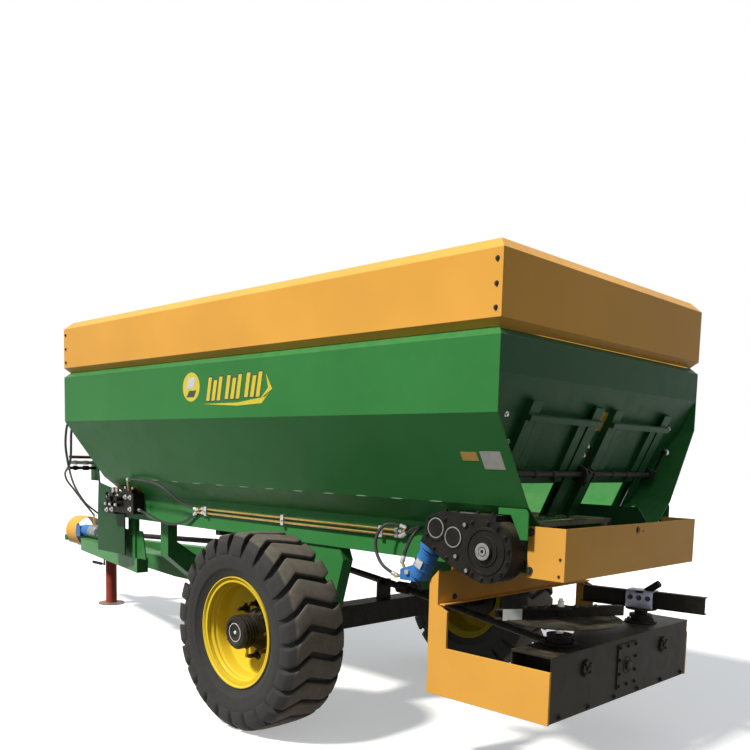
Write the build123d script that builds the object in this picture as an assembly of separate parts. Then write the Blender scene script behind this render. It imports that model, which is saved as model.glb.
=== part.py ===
"""Trailed manure and fertiliser spreader: one axle, a hopper with a moving floor, and two spinners.

Millimetres. +X runs forward to the drawbar, +Y to the left side, +Z up. Places along the machine are
counted forward from the hopper's rear face, and heights from a datum line just over the ground. The last
lines of this file stand the machine on its tyres, with the origin on the ground under its middle.
"""
from build123d import *
import os
from math import cos, hypot, pi, radians, sin, tan

os.makedirs("parts", exist_ok=True)

# ---------------------------------------------------------------- driving dimensions
rear_x = -3265.4             # hopper's rear face, from the middle of the machine
hopper_length = 4594.0
hopper_width = 2204.0
hopper_top = 2259.0          # upper edge of the upright green sheet
hopper_knee = 1888.0         # where the sides start to slope in
fold_y = 808.0               # where the slope ends
fold_z = 1418.0
rear_bend = 2080.0           # where the rear wall starts to slope forward
rear_rake = 0.47             # how far forward the rear wall runs for each millimetre down
front_rake = 0.257
hopper_sheet = 5.0
groove = 39.0                # 45 degree step between hopper and extension
extension_top = 2662.0
extension_bevel = 57.0
extension_lip = 25.0
extension_sheet = 4.0

beam_outer = 645.0
beam_width = 105.0
beam_low = 1055.0
beam_high = 1280.0
beam_wall = 8.0
beam_back = 100.0
beam_front = 4700.0
floor_sheet = 6.0

axle_back = 1788.0           # axle, forward of the hopper's rear face
axle_height = 541.0
axle_square = 157.0
axle_half = 905.0
spindle_radius = 47.0
spindle_end = 1198.0
running_clearance = 0.05
close_gap = 0.3

tyre_radius = 625.0
tread_half = 178.0
tyre_half = 224.0
carcass_radius = 581.0
shoulder_radius = 538.0
wall_radius = 494.0          # where the tread bars end on the tyre's wall
bead_radius = 315.0
flange_radius = 351.0
flange_sheet = 12.0
rim_half = 184.0
wheel_y = 1150.0
lugs = 24
lug_width = 118.0
rim_sheet = 9.0
disc_inset = 12.0
disc_sheet = 12.0
disc_flat = 212.0
hub_radius = 107.0
hub_flange = 195.0
hub_end = 1335.0
stud_circle = 168.0
studs = 8
stud_radius = 13.0

shaft_back = 210.0           # conveyor's rear shaft
shaft_front = 4560.0
shaft_z = 1179.0
shaft_radius = 35.0
chain_half_height = 12.0
chain_width = 30.0
chain_y = 420.0
slats = 30
slat_height = 30.0
slat_width = 40.0

outlet_inner = 175.0
outlet_outer = 650.0
outlet_low = 1332.0
outlet_high = 1600.0
gate_sheet = 6.0
gate_bottom = 1536.0
gate_top = 1880.0
guide_inner = 160.0          # guides' edges that face the gate
guide_outer = 690.0
guide_width = 92.0
guide_web = 30.0
guide_sheet = 6.0
guide_depth = 40.0
guide_top = 1980.0
guide_inner_foot = 1344.0
guide_outer_foot = 1424.0    # clear of the hopper's sloping sides
gate_slide = 1.5             # room for the gate under its strips
gate_room = 6.0              # and beside the guides' webs
gate_chamfer = 40.0          # clears the hopper's sloping sides when the gate is shut
rib_width = 78.0
rib_inner = 172.0
rib_outer = 680.0
gate_bar_low = 1885.0
gate_bar_high = 1915.0
gate_bar_depth = 25.0
divider_sheet = 5.0
divider_high = 1419.0
divider_low = 1255.0
divider_back = -160.0
gate_shaft_z = 1612.0
gate_shaft_radius = 17.0
gate_shaft_clear = 54.0      # shaft's middle over the gates' plates
gate_shaft_end = 850.0
gate_bearing_y = 830.0
gate_bearing_half = 14.0
ratchet_radius = 50.0
ratchet_teeth = 12
lever_length = 150.0

case_back = -172.0
case_front = 79.0
case_low = 316.0
case_high = 665.0
case_wall = 8.0
side_y = 804.0
side_sheet = 14.0
spinner_back = -10.0
spinner_y = 470.0
disc_low = 806.0             # only the left spinner has a disc
spinner_radius = 385.0
blade_low = 762.0
blade_high = 868.0
blade_flange = 45.0
blade_sheet = 6.0
disc_radius = 330.0
disc_plate = 8.0
hub_plate_radius = 95.0
boss_height = 35.0
boss_radius = 62.0
spinner_shaft = 22.0

guard_half = 753.0
guard_back = -196.0
guard_front = 30.0
guard_low = 1051.0
guard_high = 1322.0
guard_sheet = 6.0

jack_back = 6278.0
jack_y = -200.0
jack_radius = 60.0
jack_wall = 6.0
jack_foot_radius = 140.0
jack_foot_sheet = 14.0
jack_sleeve_low = 500.0
jack_sleeve_high = 950.0
jack_leg_top = 600.0

drawbar_half = 110.0
drawbar_top = 700.0
drawbar_nose = 6350.0
tongue_low = 590.0
tongue_high = 680.0
drawbar_eye = 6860.0
eye_bore = 25.5
eye_height = 60.0
eye_radius = 62.0
pto_z = 740.0
pto_guard_radius = 165.0
pto_guard_back = 6380.0
pto_guard_front = 6620.0
driveline_radius = 25.0
drive_hanger = 3000.0
drive_hanger_z = 890.0
drive_joint = 1586.0
drive_joint_z = 724.0
drive_case_z = 505.0

half_width = hopper_width / 2
floor_top = beam_high + floor_sheet
wheel_z = axle_height
ground = axle_height - tyre_radius
chain_radius = floor_top - shaft_z + chain_half_height


# ---------------------------------------------------------------- ways of making pieces
def block(x, y, z):
    """Box between pairs of low and high coordinates."""
    middle = Pos((x[0] + x[1]) / 2, (y[0] + y[1]) / 2, (z[0] + z[1]) / 2)
    return middle * Box(x[1] - x[0], y[1] - y[0], z[1] - z[0])


def prism(outline, plane, low, high):
    """Solid of a flat outline pushed from low to high. The plane says what its points hold: xz, yz or xy."""
    place = {
        "xz": lambda a, b: (a, low, b),
        "yz": lambda a, b: (low, a, b),
        "xy": lambda a, b: (a, b, low),
    }[plane]
    push = {"xz": (0, high - low, 0), "yz": (high - low, 0, 0), "xy": (0, 0, high - low)}[plane]
    return Solid.extrude(Face(Wire.make_polygon([place(a, b) for a, b in outline])), Vector(*push))


def rod(start, end, radius):
    """Round bar between two points."""
    way = Vector(*end) - Vector(*start)
    return Solid.make_cylinder(radius, way.length, Plane(origin=start, z_dir=way))


def tube(start, end, outer, inner):
    return rod(start, end, outer) - rod(start, end, inner)


def turned(outline, x, z):
    """Body of revolution about the line along Y through x and z. The outline holds (y, radius) points."""
    face = Face(Wire.make_polygon([(x, y, z + radius) for y, radius in outline]))
    return Solid.revolve(face, 360, Axis((x, 0, z), (0, 1, 0)))


def sheet_line(points, thickness):
    """The points moved to the left of the way they run, by the thickness of a sheet."""
    moved = []
    for i, (a, b) in enumerate(points):
        normals = []
        for j in (i - 1, i):
            if 0 <= j < len(points) - 1:
                run, rise = points[j + 1][0] - points[j][0], points[j + 1][1] - points[j][1]
                normals.append((-rise / hypot(run, rise), run / hypot(run, rise)))
        na, nb = sum(n[0] for n in normals), sum(n[1] for n in normals)
        share = len(normals) * thickness / (na * na + nb * nb)
        moved.append((a + na * share, b + nb * share))
    return moved


def folded(points, thickness):
    """Closed outline of a folded sheet."""
    return points + sheet_line(points, thickness)[::-1]


def other_side(shape):
    return shape.mirror(Plane.XZ)


def both_sides(shape):
    return Compound([shape, other_side(shape)])


def bar_x(points):
    """Outline points given from the hopper's rear face, moved to the machine's frame."""
    return [(rear_x + a, b) for a, b in points]


def rake(z):
    """How far forward of its upper face the rear wall is at a height."""
    return max(0.0, rear_rake * (rear_bend - z))


# ---------------------------------------------------------------- hopper
side_line = [
    (beam_outer - 60, beam_high),
    (beam_outer, beam_high),
    (fold_y, fold_z),
    (half_width, hopper_knee),
    (half_width, hopper_top),
    (half_width - groove, hopper_top + groove),
]
front_foot = hopper_length - front_rake * (hopper_knee - beam_high)


def hopper_side():
    side = prism(folded(side_line, hopper_sheet), "yz", rear_x, rear_x + hopper_length)
    high = hopper_top + groove
    for end, way in ((0, 1), (hopper_length, -1)):
        mitre = [
            (end, hopper_top), (end + way * groove, high), (end + way * groove, high + 9),
            (end - way * 9, high + 9), (end - way * 9, hopper_top),
        ]
        side -= prism(bar_x(mitre), "xz", 0, half_width + 9)
    ahead = [
        (hopper_length, hopper_knee), (front_foot, beam_high), (front_foot, beam_high - 9),
        (hopper_length + 9, beam_high - 9), (hopper_length + 9, hopper_knee),
    ]
    side -= prism(bar_x(ahead), "xz", 0, half_width + 9)
    return side + hopper_skirt()


def hopper_skirt():
    """Plate under the fold at the rear corner, cut away round the reducer and rounded at its rear top."""
    low, corner = 1250.0, 40.0
    outline = [(0, low), (45, low), (110, 1375), (190, 1375), (190, fold_z), (0, fold_z)]
    skirt = prism(bar_x(outline), "xz", fold_y - 12, fold_y - 6)
    above = [(beam_outer, beam_high), (fold_y, fold_z), (fold_y, fold_z + 99), (beam_outer, fold_z + 99)]
    skirt -= prism(above, "yz", rear_x - 9, rear_x + 400)
    square = block((rear_x, rear_x + corner), (fold_y - 20, fold_y), (fold_z - corner, fold_z))
    centre = (rear_x + corner, fold_z - corner)
    return skirt - (square - rod((centre[0], fold_y - 30, centre[1]), (centre[0], fold_y + 9, centre[1]), corner))


def hopper_inside():
    inner = sheet_line(side_line, hopper_sheet)
    inner[0] = (0, inner[0][1])
    outline = inner[1:] + [(-y, z) for y, z in reversed(inner[1:])]
    return prism(outline, "yz", rear_x - 9, rear_x + hopper_length + 9)


def hopper_front_wall():
    line = [
        (front_foot + front_rake * floor_sheet, floor_top),
        (hopper_length, hopper_knee),
        (hopper_length, hopper_top),
        (hopper_length - groove, hopper_top + groove),
    ]
    wall = prism(bar_x(folded(line, hopper_sheet)), "xz", -half_width, half_width) & hopper_inside()
    chain_slot = chain_y + chain_width / 2 + 12
    return wall - block(
        (rear_x + front_foot - 20, rear_x + hopper_length),
        (-chain_slot, chain_slot),
        (0, floor_top + slat_height + 16),
    )


def hopper_rear_wall():
    line = [
        (groove, hopper_top + groove),
        (0, hopper_top),
        (0, rear_bend),
        (rake(outlet_low), outlet_low),
    ]
    wall = prism(bar_x(folded(line, hopper_sheet)), "xz", -half_width, half_width) & hopper_inside()
    for side in (1, -1):
        across = sorted((side * outlet_inner, side * outlet_outer))
        wall -= block((rear_x, rear_x + 400), across, (outlet_low - 9, outlet_high))
    return wall


def extension_panels():
    low = hopper_top + groove
    line = [
        (groove, low),
        (0, low + groove),
        (0, extension_top),
        (extension_bevel, extension_top + extension_bevel),
        (extension_bevel + extension_lip, extension_top + extension_bevel),
    ]
    inner = sheet_line(line, -extension_sheet)
    depth = 200.0
    panels = {}
    outline = [(half_width - a, z) for a, z in line + inner[::-1]]
    side = prism(outline, "yz", rear_x, rear_x + hopper_length)
    corners = [
        (0, half_width), (hopper_length, half_width),
        (hopper_length - depth, half_width - depth), (depth, half_width - depth),
    ]
    left = side & prism(bar_x(corners), "xy", low - 9, extension_top + 99)
    panels["extension_left"] = left
    panels["extension_right"] = other_side(left)
    rear = prism(bar_x([(a, z) for a, z in line + inner[::-1]]), "xz", -half_width, half_width)
    corners = [(0, half_width), (depth, half_width - depth), (depth, depth - half_width), (0, -half_width)]
    rear = rear & prism(bar_x(corners), "xy", low - 9, extension_top + 99)
    panels["extension_rear"] = rear
    panels["extension_front"] = rear.mirror(Plane.YZ.offset(rear_x + hopper_length / 2))
    return panels


# ---------------------------------------------------------------- gates
slope_length = hypot(rear_rake, 1)


def on_slope(lift, y, z):
    """Point over the rear wall's sloping face, lifted off it, beside its point at height z."""
    return (rear_x + rake(z) - lift / slope_length, y, z - lift * rear_rake / slope_length)


def slope_bar(lift, y, z):
    """Bar that lies along the slope, between pairs of lifts, widths and heights."""
    corners = [on_slope(lift[i], 0, z[j]) for i, j in ((0, 0), (1, 0), (1, 1), (0, 1))]
    return prism([(c[0], c[2]) for c in corners], "xz", y[0], y[1])


gate_low_lift = 1.0
gate_high_lift = gate_low_lift + gate_sheet
shaft_lift = gate_high_lift + gate_shaft_clear
guide_back = guide_inner - guide_width            # outer edges of the guides
guide_far = guide_outer + guide_width


def gate():
    inner = guide_back + guide_web + gate_room
    outer = guide_far - guide_web - gate_room
    plate = slope_bar((gate_low_lift, gate_high_lift), (inner, outer), (gate_bottom, gate_top))
    low = gate_bottom - 9
    corner = [(outer - gate_chamfer, low), (outer + 9, low), (outer + 9, gate_bottom + gate_chamfer)]
    plate -= prism(corner, "yz", rear_x, rear_x + hopper_length / 2)
    depth = guide_depth - 5 - gate_high_lift
    for y in (rib_inner, rib_outer - rib_width):
        plate += slope_bar((gate_high_lift, gate_high_lift + depth), (y, y + rib_width), (gate_bottom + 20, gate_top))
    return plate


def guide(web, face, strip, foot):
    """Channel at a gate's edge: web on the wall, face over the gate's edge, and a strip that holds the gate."""
    over = gate_high_lift + gate_slide
    return (
        slope_bar((0, guide_depth), web, (foot, guide_top))
        + slope_bar((guide_depth - guide_sheet, guide_depth), face, (foot, guide_top))
        + slope_bar((over, over + guide_sheet), strip, (foot, guide_top))
    )


def divider():
    """Plate that parts the two streams, hung from the inner guide's edge."""
    lift = guide_depth - guide_sheet
    top, foot = on_slope(lift, 0, divider_high), on_slope(lift, 0, guide_inner_foot)
    back = rear_x + divider_back
    shelf = rear_x + 60
    outline = [
        (top[0], top[2]), (foot[0], foot[2]), (shelf, foot[2]), (shelf - 5, divider_low),
        (back, divider_low), (back, foot[2]), (back + 54, divider_high - 14),
    ]
    return prism(outline, "xz", -guide_inner - divider_sheet, -guide_inner)


def shaft_bearing(y):
    near, far = y - gate_bearing_half, y + gate_bearing_half
    plate = slope_bar((0, shaft_lift + 40), (near, far), (gate_shaft_z - 55, gate_shaft_z + 35))
    start, end = (on_slope(shaft_lift, across, gate_shaft_z) for across in (near - 9, far + 9))
    return plate - rod(start, end, gate_shaft_radius + close_gap)


def gate_frame():
    """Guides, the bars over the gates, the divider and the shaft's bearings."""
    inner_web = (guide_back, guide_back + guide_web)
    outer_web = (guide_far - guide_web, guide_far)
    inner = guide(inner_web, (guide_back, guide_inner), (guide_back, inner_web[1] + guide_web), guide_inner_foot)
    outer = guide(outer_web, (guide_outer, guide_far), (outer_web[0] - guide_web, guide_far), guide_outer_foot)
    bar = slope_bar((guide_depth, guide_depth + gate_bar_depth), (guide_back, guide_far), (gate_bar_low, gate_bar_high))
    pieces = [inner, outer, bar, other_side(inner), other_side(outer), other_side(bar), divider()]
    pieces += [shaft_bearing(y) for y in (gate_bearing_y, 0, -gate_bearing_y)]
    return pieces[0].fuse(*pieces[1:])


def ratchet():
    """Toothed wheel that holds the gates' shaft where it is set."""
    tooth = 2 * pi / ratchet_teeth
    outline = []
    for i in range(ratchet_teeth):
        for angle, radius in ((i * tooth, ratchet_radius), ((i + 0.2) * tooth, ratchet_radius - 9)):
            outline.append((radius * cos(angle), radius * sin(angle)))
    centre = on_slope(shaft_lift, 0, gate_shaft_z)
    return prism([(centre[0] + a, centre[2] + b) for a, b in outline], "xz", -50, -38)


def gate_shaft():
    """Shaft with its ratchet wheel and, at the right end, the lever that turns it."""
    end = -gate_shaft_end - 20
    left_end, right_end = (on_slope(shaft_lift, across, gate_shaft_z) for across in (gate_shaft_end, end))
    shaft = rod(left_end, right_end, gate_shaft_radius)
    lever = slope_bar((shaft_lift - 6, shaft_lift + 6), (end, end + 12), (gate_shaft_z, gate_shaft_z + lever_length))
    knob_z = gate_shaft_z + lever_length
    knob = rod(on_slope(shaft_lift, end + 12, knob_z), on_slope(shaft_lift, end - 30, knob_z), 16)
    return shaft + ratchet() + lever + knob


# ---------------------------------------------------------------- chassis
def chassis_beam():
    inner = beam_outer - beam_width
    beam = block((rear_x + beam_back, rear_x + beam_front), (inner, beam_outer), (beam_low, beam_high))
    beam -= block(
        (rear_x + beam_back - 9, rear_x + beam_front + 9),
        (inner + beam_wall, beam_outer - beam_wall),
        (beam_low + beam_wall, beam_high - beam_wall),
    )
    x = rear_x + shaft_back
    return beam - rod((x, 0, shaft_z), (x, beam_outer + 9, shaft_z), shaft_radius + 10)


cross_low = beam_low + 35
cross_high = beam_high - 15


def chassis_crossmembers():
    inner = beam_outer - beam_width
    bars = []
    for x in (700, axle_back, 3000, 4050):
        bars.append(block((rear_x + x - 50, rear_x + x + 50), (-inner, inner), (cross_low, cross_high)))
    return Compound(bars)


def conveyor_floor():
    reach = beam_outer - 62
    return block((rear_x + shaft_back + 40, rear_x + shaft_front - 40), (-reach, reach), (beam_high, floor_top))


def stadium(radius):
    """Outline of the conveyor's loop at a radius from its shafts, pushed across the machine by the caller."""
    back, front = rear_x + shaft_back, rear_x + shaft_front
    low, high = shaft_z - radius, shaft_z + radius
    return [
        Edge.make_line((back, 0, high), (front, 0, high)),
        Edge.make_three_point_arc((front, 0, high), (front + radius, 0, shaft_z), (front, 0, low)),
        Edge.make_line((front, 0, low), (back, 0, low)),
        Edge.make_three_point_arc((back, 0, low), (back - radius, 0, shaft_z), (back, 0, high)),
    ]


def loop(radius, y_low, y_high):
    wire = Wire(stadium(radius))
    return Pos(0, y_low, 0) * Solid.extrude(Face(wire), Vector(0, y_high - y_low, 0))


def conveyor_chain():
    """The two chain strands, each a closed loop over the sprockets of both shafts."""
    outer, inner = chain_radius + chain_half_height, chain_radius - chain_half_height
    strand_low, strand_high = chain_y - chain_width / 2, chain_y + chain_width / 2
    return both_sides(loop(outer, strand_low, strand_high) - loop(inner, strand_low - 9, strand_high + 9))


def along_loop(along):
    """Place on the chain's middle line, so far forward along its upper run and round."""
    straight = shaft_front - shaft_back
    arc = pi * chain_radius
    if along < straight:
        return Pos(rear_x + shaft_back + along, 0, shaft_z + chain_radius)
    if along < straight + arc:
        turn = (along - straight) / arc * 180
        return Pos(rear_x + shaft_front, 0, shaft_z) * Rot(0, turn, 0) * Pos(0, 0, chain_radius)
    if along < 2 * straight + arc:
        return Pos(rear_x + shaft_front - (along - straight - arc), 0, shaft_z - chain_radius) * Rot(0, 180, 0)
    turn = 180 + (along - 2 * straight - arc) / arc * 180
    return Pos(rear_x + shaft_back, 0, shaft_z) * Rot(0, turn, 0) * Pos(0, 0, chain_radius)


def conveyor_slats():
    """Scraper bars from strand to strand."""
    length = 2 * (shaft_front - shaft_back) + 2 * pi * chain_radius
    reach = chain_y - chain_width / 2
    height = (-chain_half_height, slat_height - chain_half_height)
    bar = block((-slat_width / 2, slat_width / 2), (-reach, reach), height)
    return Compound([along_loop(i * length / slats) * bar for i in range(slats)])


def sprocket_shaft(x, low, high):
    shaft = rod((rear_x + x, low, shaft_z), (rear_x + x, high, shaft_z), shaft_radius)
    disc = chain_radius - chain_half_height - close_gap
    for y in (-chain_y, chain_y):
        shaft += rod((rear_x + x, y - 10, shaft_z), (rear_x + x, y + 10, shaft_z), disc)
    return shaft


def shaft_bearings():
    """Flanged bearings: the rear shaft's on the right beam's outer face, the front shaft's between the beams."""
    inner = beam_outer - beam_width
    bearings = []
    for x, face, way in ((shaft_back, -beam_outer, -1), (shaft_front, -inner, 1), (shaft_front, inner, -1)):
        plate = sorted((face, face + way * 14))
        ring = block((rear_x + x - 75, rear_x + x + 75), plate, (shaft_z - 75, shaft_z + 75))
        ring += rod((rear_x + x, face, shaft_z), (rear_x + x, face + way * 38, shaft_z), 58)
        ring -= rod((rear_x + x, face - way * 9, shaft_z), (rear_x + x, face + way * 60, shaft_z), shaft_radius + close_gap)
        bearings.append(ring)
    return Compound(bearings)


# ---------------------------------------------------------------- axle and wheels
axle_x = rear_x + axle_back
axle_top = wheel_z + axle_square / 2


def axle_beam():
    half = axle_square / 2
    beam = block((axle_x - half, axle_x + half), (-axle_half, axle_half), (wheel_z - half, wheel_z + half))
    for side in (1, -1):
        beam += rod((axle_x, side * (axle_half - 9), wheel_z), (axle_x, side * spindle_end, wheel_z), spindle_radius)
    return beam


def axle_hanger():
    outline = [
        (axle_x - 129, axle_top), (axle_x + 100, axle_top), (axle_x + 260, beam_low),
        (axle_x - 190, beam_low), (axle_x - 228, beam_low - 85),
    ]
    return prism(outline, "xz", beam_outer - beam_width, beam_outer - 15)


def lug():
    """One tread bar: a zigzag across the tyre, laid flat over its top and cut to the tyre's outer shape."""
    line = [(0, tyre_half + 9), (113, 76), (55, -118), (116, -tyre_half - 9)]
    outline = [(c - lug_width / 2, s) for c, s in line] + [(c + lug_width / 2, s) for c, s in reversed(line)]
    shift, depth = 74.0, 178.0
    return prism([(c - shift, s) for c, s in outline], "xy", tyre_radius - depth, tyre_radius + 9)


def tyre():
    """Made about the middle of the wheel, at the origin of its own frame."""
    seat = rim_half - flange_sheet - close_gap
    half = [
        (seat, bead_radius + close_gap), (seat, flange_radius + 4),
        (tyre_half - 13, 420), (tyre_half - 4, 478),
    ]
    carcass = half + [(tyre_half - 20, shoulder_radius), (tread_half - 18, carcass_radius)]
    envelope = half + [
        (tyre_half, wall_radius + 31), (tyre_half - 3, shoulder_radius + 34), (tread_half, tyre_radius),
    ]
    body = turned(carcass + [(-s, r) for s, r in reversed(carcass)], 0, 0)
    outer = turned(envelope + [(-s, r) for s, r in reversed(envelope)], 0, 0)
    reach, low, high = tyre_half, bead_radius, wall_radius
    core = turned([(-reach, low), (-reach, high), (reach, high), (reach, low)], 0, 0)
    bar = (lug() & outer) - core
    bars = [Rot(0, 360 / lugs * i, 0) * bar for i in range(lugs)]
    return body.fuse(*bars)


def rim():
    seat, out = bead_radius, rim_half
    flange = out - flange_sheet
    barrel = [
        (-out, flange_radius), (-flange, flange_radius), (-flange, seat), (flange, seat),
        (flange, flange_radius), (out, flange_radius), (out, seat - rim_sheet), (-out, seat - rim_sheet),
    ]
    body = turned(barrel, 0, 0)
    back = -disc_inset
    disc = [
        (back, hub_radius + close_gap), (back + disc_sheet, hub_radius + close_gap),
        (back + disc_sheet, disc_flat - 6),
        (back + 47, seat - rim_sheet + 1), (back + 35, seat - rim_sheet + 1), (back, disc_flat),
    ]
    body += turned(disc, 0, 0)
    hole = rod((0, back - 9, stud_circle), (0, back + 60, stud_circle), stud_radius + close_gap)
    return body - [Rot(0, 360 / studs * i, 0) * hole for i in range(studs)]


def hub():
    inner_end = axle_half + 40 - wheel_y
    back = -disc_inset
    end = hub_end - wheel_y
    bore = spindle_radius + running_clearance
    line = [
        (inner_end, bore), (inner_end, hub_radius - 5), (back - 22, hub_radius - 5), (back - 22, hub_flange),
        (back, hub_flange), (back, hub_radius), (end - 118, hub_radius),
    ]
    for i in range(4):
        step = end - 112 + i * 22
        line += [(step, hub_radius - 10), (step + 8, hub_radius - 10), (step + 10, hub_radius), (step + 18, hub_radius)]
    line += [(end - 14, hub_radius - 6), (end, hub_radius - 32), (end, 0), (spindle_end - wheel_y + 6, 0)]
    body = turned(line + [(spindle_end - wheel_y + 6, bore)], 0, 0)
    stud = rod((0, back - 5, stud_circle), (0, back + disc_sheet + 80, stud_circle), stud_radius)
    return body.fuse(*[Rot(0, 360 / studs * i, 0) * stud for i in range(studs)])


# ---------------------------------------------------------------- drawbar and jack
arm_low, arm_high = 560.0, 690.0
arm_end = jack_back - 88


def drawbar():
    line = [
        (3950, 470), (4450, 470), (5800, 545), (drawbar_nose, arm_low),
        (drawbar_nose, drawbar_top), (5750, drawbar_top), (5100, 640), (3950, 640),
    ]
    return prism(bar_x(line), "xz", -drawbar_half, drawbar_half)


def hitch_eye():
    x = rear_x + drawbar_eye
    low = (tongue_low + tongue_high - eye_height) / 2
    eye = block((rear_x + drawbar_nose, x - 70), (-50, 50), (tongue_low, tongue_high))
    eye += block((x - 70, x), (-45, 45), (low, low + eye_height))
    eye += rod((x, 0, low), (x, 0, low + eye_height), eye_radius)
    return eye - rod((x, 0, low - 9), (x, 0, low + eye_height + 9), eye_bore)


def drawbar_arm():
    """Arm from the drawbar's side back to the leg under the chassis beam, with a gusset over it."""
    back, wide, deep = 4300.0, 590.0, 480.0
    narrowing = (wide - 165) / (drawbar_nose - back)
    meet = back + (deep - drawbar_half) / narrowing
    outline = [
        (back, deep), (back, wide), (arm_end, wide - (arm_end - back) * narrowing),
        (arm_end, drawbar_half), (meet, drawbar_half),
    ]
    arm = prism(bar_x(outline), "xy", arm_low, arm_high)
    arm += block((rear_x + 4340, rear_x + 4460), (beam_outer - beam_width, beam_outer - 60), (arm_high, beam_low))
    gusset = [(4180, arm_high), (4620, arm_high), (4560, 940), (4240, 940)]
    return arm + prism(bar_x(gusset), "xz", 560, 570)


def subframe_post():
    reach = beam_outer - beam_width + 20
    outline = [(-200, 470), (200, 470), (reach, 760), (reach, beam_low), (-reach, beam_low), (-reach, 760)]
    post = prism(outline, "yz", rear_x + 3830, rear_x + 3950)
    inner = reach - 90
    hole = [(-120, 640), (120, 640), (inner, 880), (inner, beam_low + 9), (-inner, beam_low + 9), (-inner, 880)]
    return post - prism(hole, "yz", rear_x + 3820, rear_x + 3960)


def jack_sleeve():
    """Sleeve beside the drawbar, welded to it by a bracket, with the winding handle in front."""
    x = rear_x + jack_back
    inner = jack_radius + running_clearance
    sleeve = rod((x, jack_y, jack_sleeve_low), (x, jack_y, jack_sleeve_high), jack_radius + 10)
    sleeve += rod((x, jack_y, 718), (x, jack_y, 730), jack_radius + 34)
    sleeve += block((x - 50, x + 50), (jack_y, -drawbar_half), (arm_low + 10, arm_high))
    sleeve -= rod((x, jack_y, jack_sleeve_low - 9), (x, jack_y, jack_sleeve_high - 20), inner)
    reach, low = x + 162, 345.0
    crank = rod((x + jack_radius + 5, jack_y, 760), (reach, jack_y, 760), 12)
    crank += rod((reach, jack_y, 771), (reach, jack_y, low), 9)
    return sleeve + crank + rod((reach - 10, jack_y, low), (reach + 70, jack_y, low), 9)


def jack_grip():
    x = rear_x + jack_back + 162
    return rod((x + 70, jack_y, 345), (x + 260, jack_y, 345), 17)


def jack_leg():
    x = rear_x + jack_back
    leg = rod((x, jack_y, ground), (x, jack_y, jack_leg_top), jack_radius)
    leg -= rod((x, jack_y, ground + jack_foot_sheet), (x, jack_y, jack_leg_top + 9), jack_radius - jack_wall)
    return leg + rod((x, jack_y, ground), (x, jack_y, ground + jack_foot_sheet), jack_foot_radius)


# ---------------------------------------------------------------- power take-off end
pump_y, pump_z, pump_radius = 110.0, 770.0, 62.0
gearbox_back, gearbox_front = 6250.0, 6340.0


def pto_guard():
    x0, x1 = rear_x + pto_guard_back, rear_x + pto_guard_front
    ring = tube((x0, 0, pto_z), (x1, 0, pto_z), pto_guard_radius, pto_guard_radius - 5)
    return ring + block((x0 + 40, x1 - 40), (-50, 50), (pto_z - pto_guard_radius + 1, tongue_low))


def pump():
    """Transfer gearbox behind the guard, with the shaft ahead of it and the pump behind."""
    back, front = rear_x + gearbox_back, rear_x + gearbox_front
    body = block((back, front), (-60, 180), (drawbar_top, pto_z + 75))
    body += rod((front, 0, pto_z), (front + 60, 0, pto_z), 38)
    body += rod((front + 30, 0, pto_z), (rear_x + 6510, 0, pto_z), 17.5)
    body += rod((back - 33, 0, pto_z), (back, 0, pto_z), 38)
    return body + rod((back - 310, pump_y, pump_z), (back, pump_y, pump_z), pump_radius)


drive_stops = [
    (rear_x + gearbox_back - 35, 0, pto_z),
    (rear_x + drive_hanger, 0, drive_hanger_z),
    (rear_x + drive_joint, 0, drive_joint_z),
    (rear_x + case_front + 8, 0, drive_case_z),
]


def driveline():
    """Jointed shaft from the transfer gearbox over the axle to the spinners' gear case."""
    shaft = rod(drive_stops[0], drive_stops[1], driveline_radius)
    for start, end in zip(drive_stops[1:], drive_stops[2:]):
        shaft += rod(start, end, driveline_radius)
    for x, y, z in drive_stops[1:3]:
        shaft += rod((x - 50, y, z), (x + 50, y, z), 42)
    x, y, z = drive_stops[3]
    return shaft + rod((x - 8, y, z), (x + 22, y, z), 48)


def driveline_bearings():
    """Plates that hold the shaft, under the beams and on the axle."""
    x = rear_x + drive_hanger
    hang = block((x - 15, x + 15), (-60, 60), (drive_hanger_z, beam_low - 40))
    hang += block((x - 30, x + 30), (-beam_outer + 20, beam_outer - 20), (beam_low - 40, beam_low - 20))
    for side in (1, -1):
        across = sorted((side * (beam_outer - 80), side * (beam_outer - 20)))
        hang += block((x - 30, x + 30), across, (beam_low - 20, beam_low))
    hang -= rod((x - 90, 0, drive_hanger_z), (x + 90, 0, drive_hanger_z), 42 + close_gap)
    start, end = Vector(*drive_stops[1]), Vector(*drive_stops[2])
    middle = start + (end - start) * ((start.X - axle_x) / (start.X - end.X))
    rest = block((axle_x - 15, axle_x + 15), (-60, 60), (axle_top, middle.Z + 15))
    return Compound([hang, rest - rod(tuple(start), tuple(end), driveline_radius + close_gap)])


# ---------------------------------------------------------------- reducer and its motor
reducer_near, reducer_far = 745.0, 880.0
input_x, input_z, input_radius = 549.0, 1277.0, 82.0
output_radius = 172.0
motor_face = (624.0, 1173.0)         # where the motor's axis meets the housing
motor_way = (0.463, -0.886)
motor_y, motor_radius, motor_length = 812.0, 58.0, 215.0


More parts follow.
